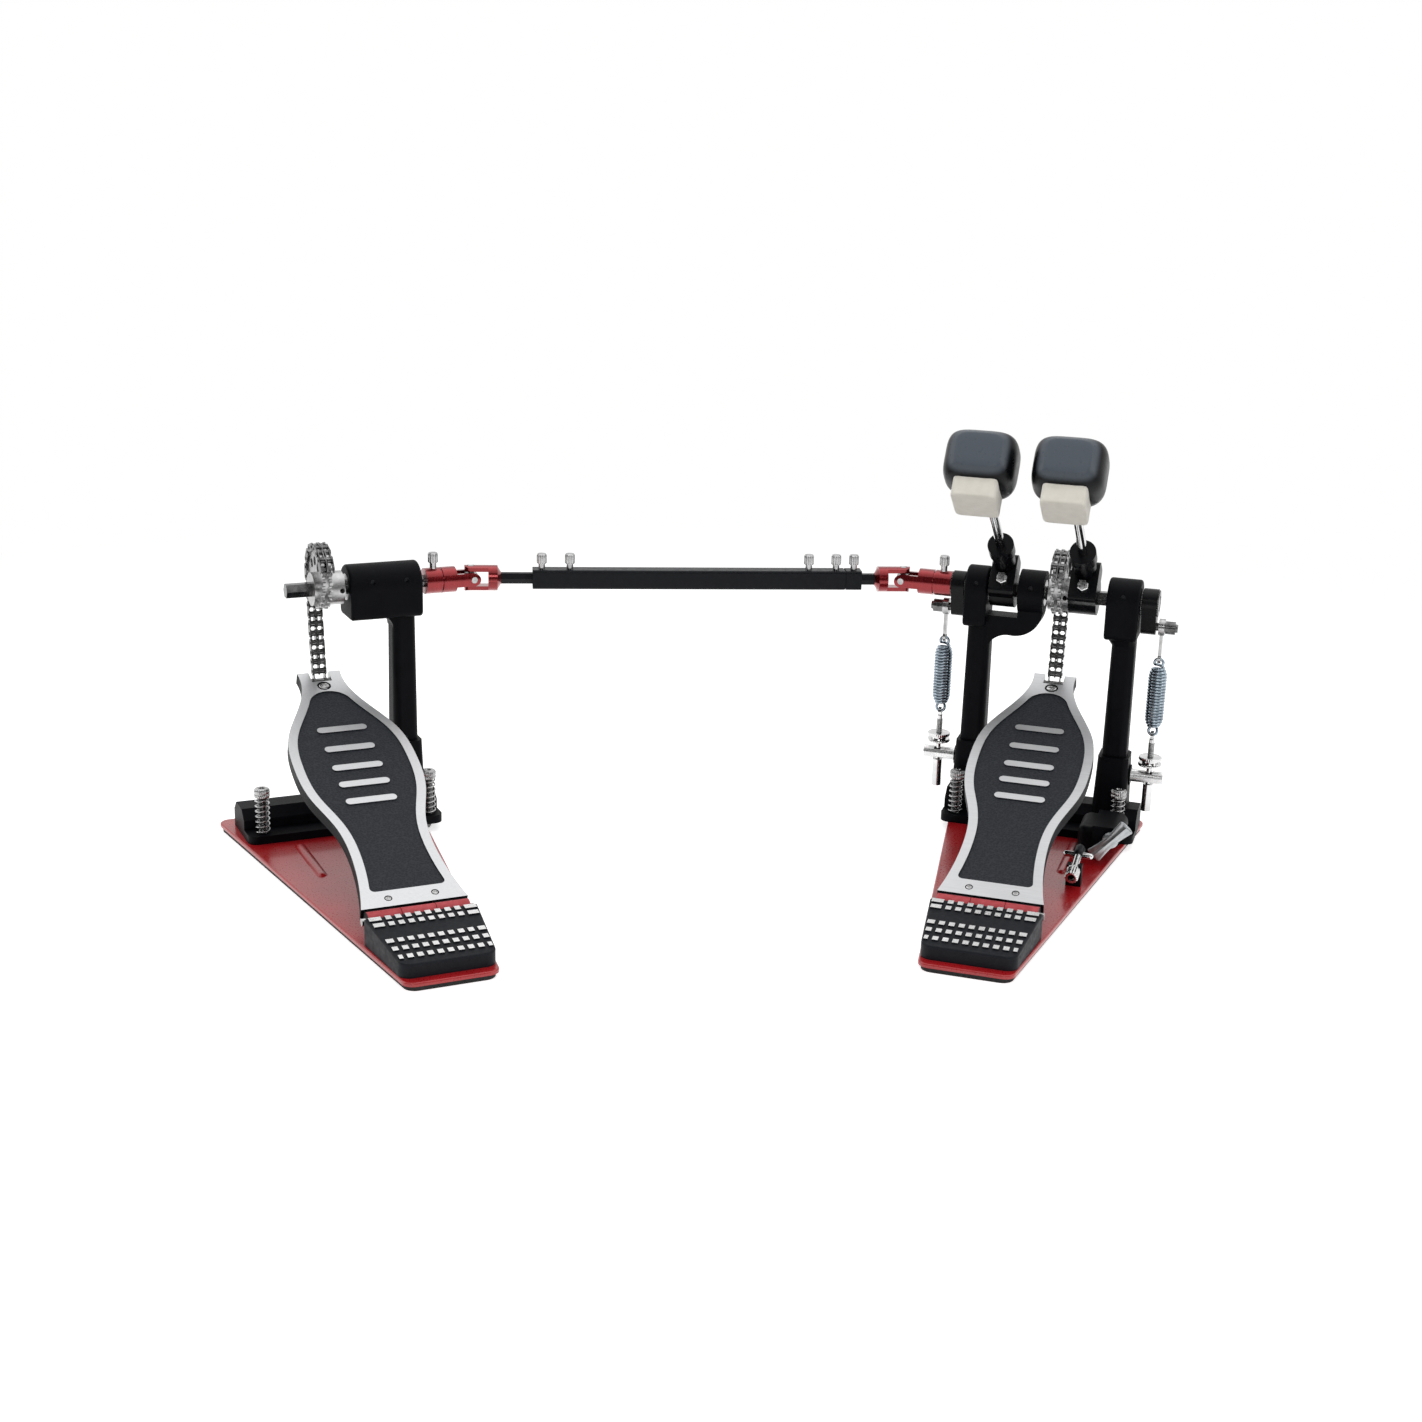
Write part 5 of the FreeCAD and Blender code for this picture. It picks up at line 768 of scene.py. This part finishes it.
def drum_key():
    """Turned about the key's line: a ribbed socket, a shank and a grip; across it, a bar with ball ends."""
    way = (KEY_TOP - KEY_TIP) / np.linalg.norm(KEY_TOP - KEY_TIP)
    ball = np.linspace(0, np.pi / 2, 9)
    near = [(BALL_RADIUS * math.sin(a), -BALL_REACH - BALL_RADIUS * math.cos(a)) for a in ball]
    far = [(BALL_RADIUS * math.sin(a), BALL_REACH + BALL_RADIUS * math.cos(a)) for a in ball[::-1]]
    shells = [lathe(KEY_BARREL, KEY_TIP, way, 70, knurl=(14, 0.6)) + (0,),
              lathe(KEY_GRIP, KEY_TIP, way, 40) + (1,),
              lathe(near + KEY_BAR + far, KEY_TOP, (1, 0, 0), 28) + (0,)]
    key = piece("square_socket_key", shells, [CHROME, SATIN], 40.0)
    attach(key, "drum_key")
    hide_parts("drum_key")


# Finishes of the solid pieces
FACING_UP, FACING_ASIDE, SKIN = 0.7, 0.9, 0.05
TOP_LEVEL, SCREW_LEVEL = -0.1, -0.4
TREAD_LOW, TREAD_HIGH, TREAD_FROM, TREAD_TO = -1.3, -0.3, 15.0, 266.0
NOTCH_HALF, NOTCH_FROM = 8.5, 277.5
HINGE_Y, HINGE_Z, KNUCKLE_REACH, KNUCKLES_HALF = -264.0, 22.0, 7.6, 33.0
HEEL_LOW, HEEL_BACK, HEEL_RISE, HEEL_RUN = 17.8, -341.0, 10.2, 69.0
STUD_RISE, HEEL_HINGE_HALF = 0.9, 13.01
HUB_BOLT_HALF, HUB_BOLT_FROM, HUB_BOLT_TO = 3.2, 20.05, 28.6
YOKE_BORE = 5.3
CHAIN_RUNS = ("wrap", "link_1", "link_2", "link_3", "span")


def face_facts(node, back=on_primary):
    """Centres in mm, taken back to the piece's own frame, and normals, of a node's faces."""
    mesh = nodes[node].data
    count = len(mesh.polygons)
    centres, normals = np.empty(count * 3, np.float32), np.empty(count * 3, np.float32)
    mesh.polygons.foreach_get("center", centres)
    mesh.polygons.foreach_get("normal", normals)
    zero = back(np.zeros((1, 3)))
    return back(centres.reshape(-1, 3) / MM), back(normals.reshape(-1, 3)) - zero


def dress(node, finishes, marks=None):
    """Gives a node its finishes; marks holds the finish number of each face."""
    mesh = nodes[node].data
    mesh.materials.clear()
    for finish in finishes:
        mesh.materials.append(finish)
    marks = np.zeros(len(mesh.polygons)) if marks is None else marks
    mesh.polygons.foreach_set("material_index", np.asarray(marks).astype(np.int32))


def dress_boards():
    """Rim, bars and notch walls silver, sunk face grained, sides black, hinge knuckles red, screws bright."""
    for name, back in (("primary_footboard", on_primary), ("slave_footboard", off_slave)):
        centre, normal = face_facts(name, back)
        place, way = off_board(centre), off_board(normal + BOARD_AT)
        across, along, level = np.abs(place[:, 0]), place[:, 1], place[:, 2]
        up = way[:, 2] > FACING_UP
        marks = np.zeros(len(place))
        marks[up & (level > TOP_LEVEL)] = 1
        marks[(level > TREAD_LOW) & (level < TREAD_HIGH) & (along > TREAD_FROM) & (along < TREAD_TO)] = 2
        marks[up & (level < TOP_LEVEL) & (level > SCREW_LEVEL)] = 3
        inside = (across < NOTCH_HALF) & (along > NOTCH_FROM) & (level < TOP_LEVEL)
        marks[inside] = np.where(np.abs(way[inside, 0]) > FACING_ASIDE, 1, 3)
        leaf = np.hypot(centre[:, 1] - HINGE_Y, centre[:, 2] - HINGE_Z) < KNUCKLE_REACH
        marks[leaf] = np.where(np.abs(centre[leaf, 0]) < KNUCKLES_HALF, 4, 0)
        dress(name, [CASTING, RIM, GRAIN, STEEL, RED_MATT], marks)


def dress_heels():
    """Studs bright on top, the rest black; the hinge red with a bright pin."""
    for name, back in (("primary_heel_plate", on_primary), ("slave_heel_plate", off_slave)):
        centre, normal = face_facts(name, back)
        top = HEEL_LOW + (centre[:, 1] - HEEL_BACK) * HEEL_RISE / HEEL_RUN
        dress(name, [HEEL, STUD], (centre[:, 2] - top > STUD_RISE) & (normal[:, 2] > FACING_UP))
    for name, back in (("primary_heel_hinge", on_primary), ("slave_heel_hinge", off_slave)):
        centre, _ = face_facts(name, back)
        dress(name, [RED_MATT, STEEL], np.abs(centre[:, 0]) > HEEL_HINGE_HALF)


def dress_nodes():
    """One finish for each plain piece; of the rest, bolts and screws are told by where their faces lie."""
    chains = tuple(pedal + "_chain_" + run for pedal in ("primary", "slave") for run in CHAIN_RUNS)
    plain = {
        RED_PAINT: ("primary_base_plate", "slave_base_plate"),
        RUBBER: ("primary_floor_pad", "slave_floor_pad"),
        CASTING: ("primary_foot_bar", "slave_foot_bar", "left_post", "right_post", "slave_post",
                  "clamp_bracket", "clamp_jaw"),
        STEEL: ("post_bearings", "slave_bearings", "right_stirrup", "left_stirrup",
                "primary_cross", "slave_cross"),
        CHAIN_STEEL: chains + ("primary_shaft", "left_beater_shaft", "slave_shaft"),
        CAST_SILVER: ("primary_sprocket", "slave_sprocket"),
        STUD: ("spring_swivels",),
        CHROME: ("right_spring_tail", "left_spring_tail", "right_beater_rod", "left_beater_rod"),
    }
    for finish, names in plain.items():
        for name in names:
            dress(name, [finish])
    for name in ("right_beater_hub", "left_beater_hub"):
        place = off_rod(face_facts(name)[0])
        bolt = (place[:, 2] > HUB_BOLT_FROM) & (place[:, 2] < HUB_BOLT_TO)
        dress(name, [GLOSS, STUD], bolt & (np.abs(place[:, 1]) < HUB_BOLT_HALF))
    for name, out, face in (("right_rocker", 1, 83.0), ("left_rocker", -1, 91.0)):
        centre, _ = face_facts(name)
        dress(name, [GLOSS, CHAIN_STEEL], centre[:, 0] * out > face + SKIN)
    for name, back in (("primary_outer_yoke", on_primary), ("slave_outer_yoke", off_slave)):
        centre, _ = face_facts(name, back)
        dress(name, [RED_METAL, CHROME], centre[:, 2] > SHAFT_Z + YOKE_TOP + SKIN)
    for name in ("primary_inner_yoke", "slave_inner_yoke"):
        place = off_link(face_facts(name)[0])
        dress(name, [RED_METAL, SATIN], np.hypot(place[:, 1], place[:, 2]) < YOKE_BORE)
    place = off_link(face_facts("linkage_tube")[0])
    dress("linkage_tube", [SATIN, CHROME], place[:, 2] > TUBE_TOP + SKIN)


# Camera, floor and light
CAMERA_TURNS = (0.2889, -0.3035, 0.0282)
CAMERA_AT, CAMERA_LENS, CAMERA_SENSOR = (0.2334565, -1.7260195, 0.6079839), 52.411, 36.0
ROOM_DARK_FROM, ROOM_LIGHT_FROM, ROOM_DARK, FILL = -0.5, 0.35, 0.05, 0.45
PAPER_MIDDLE, FADE_FROM, FADE_TO, GLOW, PAPER_HALF = (-0.28, -0.2, 0.0), 0.7, 1.4, 0.60, 9.0
LIT_POINT = (-0.3, -0.2, 0.12)


def camera():
    """Pinhole at the photograph's place: level right, then pitch down and roll."""
    pitch, yaw, roll = CAMERA_TURNS
    ahead = np.array([math.sin(yaw) * math.cos(pitch), math.cos(yaw) * math.cos(pitch), -math.sin(pitch)])
    right = np.array([math.cos(yaw), -math.sin(yaw), 0.0])
    up = np.cross(right, ahead)
    across = math.cos(roll) * right + math.sin(roll) * up
    upward = -math.sin(roll) * right + math.cos(roll) * up
    lens = bpy.data.cameras.new("camera")
    lens.sensor_fit = "HORIZONTAL"
    lens.sensor_width = CAMERA_SENSOR
    lens.lens = CAMERA_LENS
    lens.clip_start, lens.clip_end = 0.05, 50.0
    eye = bpy.data.objects.new("camera", lens)
    turn = Matrix(np.stack([across, upward, -ahead], 1).tolist()).to_4x4()
    eye.matrix_world = Matrix.Translation(Vector(CAMERA_AT)) @ turn
    bpy.context.scene.collection.objects.link(eye)
    bpy.context.scene.camera = eye


def seen_directly(tree):
    """One where a camera, glossy or transmission ray looks, nought for the rest."""
    path = tree.nodes.new("ShaderNodeLightPath")
    first = tree.nodes.new("ShaderNodeMath")
    first.operation = "MAXIMUM"
    second = tree.nodes.new("ShaderNodeMath")
    second.operation = "MAXIMUM"
    tree.links.new(path.outputs["Is Camera Ray"], first.inputs[0])
    tree.links.new(path.outputs["Is Glossy Ray"], first.inputs[1])
    tree.links.new(first.outputs[0], second.inputs[0])
    tree.links.new(path.outputs["Is Transmission Ray"], second.inputs[1])
    return second.outputs[0]


def chosen(tree, switch, without, with_it):
    """One of two numbers, as the switch is nought or one; either may be a plain number or a socket."""
    node = tree.nodes.new("ShaderNodeMix")
    tree.links.new(switch, node.inputs[0])
    for socket, number in ((node.inputs[2], without), (node.inputs[3], with_it)):
        if isinstance(number, float):
            socket.default_value = number
        else:
            tree.links.new(number, socket)
    return node.outputs[0]


def surroundings():
    """White to the camera, a room darker on the camera's side to reflections, and a plain grey fill."""
    world = bpy.data.worlds.new("studio")
    bpy.context.scene.world = world
    world.use_nodes = True
    tree = world.node_tree
    back = tree.nodes["Background"]
    back.inputs["Color"].default_value = (1, 1, 1, 1)
    split = tree.nodes.new("ShaderNodeSeparateXYZ")
    tree.links.new(tree.nodes.new("ShaderNodeTexCoord").outputs["Generated"], split.inputs["Vector"])
    room = eased(tree, split.outputs["Y"], ROOM_DARK_FROM, ROOM_LIGHT_FROM, ROOM_DARK, 1.0)
    shown = chosen(tree, tree.nodes.new("ShaderNodeLightPath").outputs["Is Camera Ray"], room, 1.0)
    tree.links.new(chosen(tree, seen_directly(tree), FILL, shown), back.inputs["Strength"])


def floor():
    """White paper: it glows for the camera, takes the object's shadow, and fades to plain white far out."""
    material, tree, surface, place = shader("white_paper", grey(0.9), 0.0, 0.9)
    surface.inputs["Specular IOR Level"].default_value = 0.0
    surface.inputs["Emission Color"].default_value = (1, 1, 1, 1)
    reach = tree.nodes.new("ShaderNodeVectorMath")
    reach.operation = "DISTANCE"
    reach.inputs[1].default_value = PAPER_MIDDLE
    tree.links.new(place, reach.inputs[0])
    far = eased(tree, reach.outputs["Value"], FADE_FROM, FADE_TO, 0.0, 1.0)
    tree.links.new(ramp(tree, far, grey(0.9), grey(0.0), 0.0, 1.0), surface.inputs["Base Color"])
    glow = chosen(tree, far, GLOW, 1.0)
    tree.links.new(chosen(tree, seen_directly(tree), 0.0, glow), surface.inputs["Emission Strength"])
    mesh = bpy.data.meshes.new("floor")
    corners = [(x * PAPER_HALF, y * PAPER_HALF, 0) for x, y in ((-1, -1), (1, -1), (1, 1), (-1, 1))]
    mesh.from_pydata(corners, [], [(0, 1, 2, 3)])
    mesh.materials.append(material)
    sheet = bpy.data.objects.new("floor", mesh)
    bpy.context.scene.collection.objects.link(sheet)


def softbox(name, at, to, size, power):
    """A rectangular lamp that faces the point it is aimed at."""
    lamp = bpy.data.lights.new(name, "AREA")
    lamp.shape = "RECTANGLE"
    lamp.size, lamp.size_y = size
    lamp.energy = power
    thing = bpy.data.objects.new(name, lamp)
    way = Vector(at) - Vector(to)
    thing.matrix_world = Matrix.Translation(Vector(at)) @ way.to_track_quat("Z", "Y").to_matrix().to_4x4()
    bpy.context.scene.collection.objects.link(thing)


def lights():
    """Four soft lamps round the pedals."""
    softbox("overhead", (-0.3, -0.1, 2.4), LIT_POINT, (4.0, 3.0), 30.0)
    softbox("left_window", (-2.6, -0.7, 1.2), LIT_POINT, (0.8, 1.8), 14.0)
    softbox("right_window", (2.3, -0.6, 1.3), LIT_POINT, (0.8, 1.8), 12.0)
    softbox("front_key", (0.5, -2.4, 1.5), LIT_POINT, (1.2, 0.6), 10.0)


camera()
bpy.context.scene.view_settings.view_transform = "Standard"
surroundings()
floor()
lights()
dress_boards()
dress_heels()
dress_nodes()
return_springs()
spurs()
beater_heads()
key_screws()
spring_adjusters()
board_screws()
rocker_washers()
hub_nuts()
set_screws()
wing_screw()
drum_key()
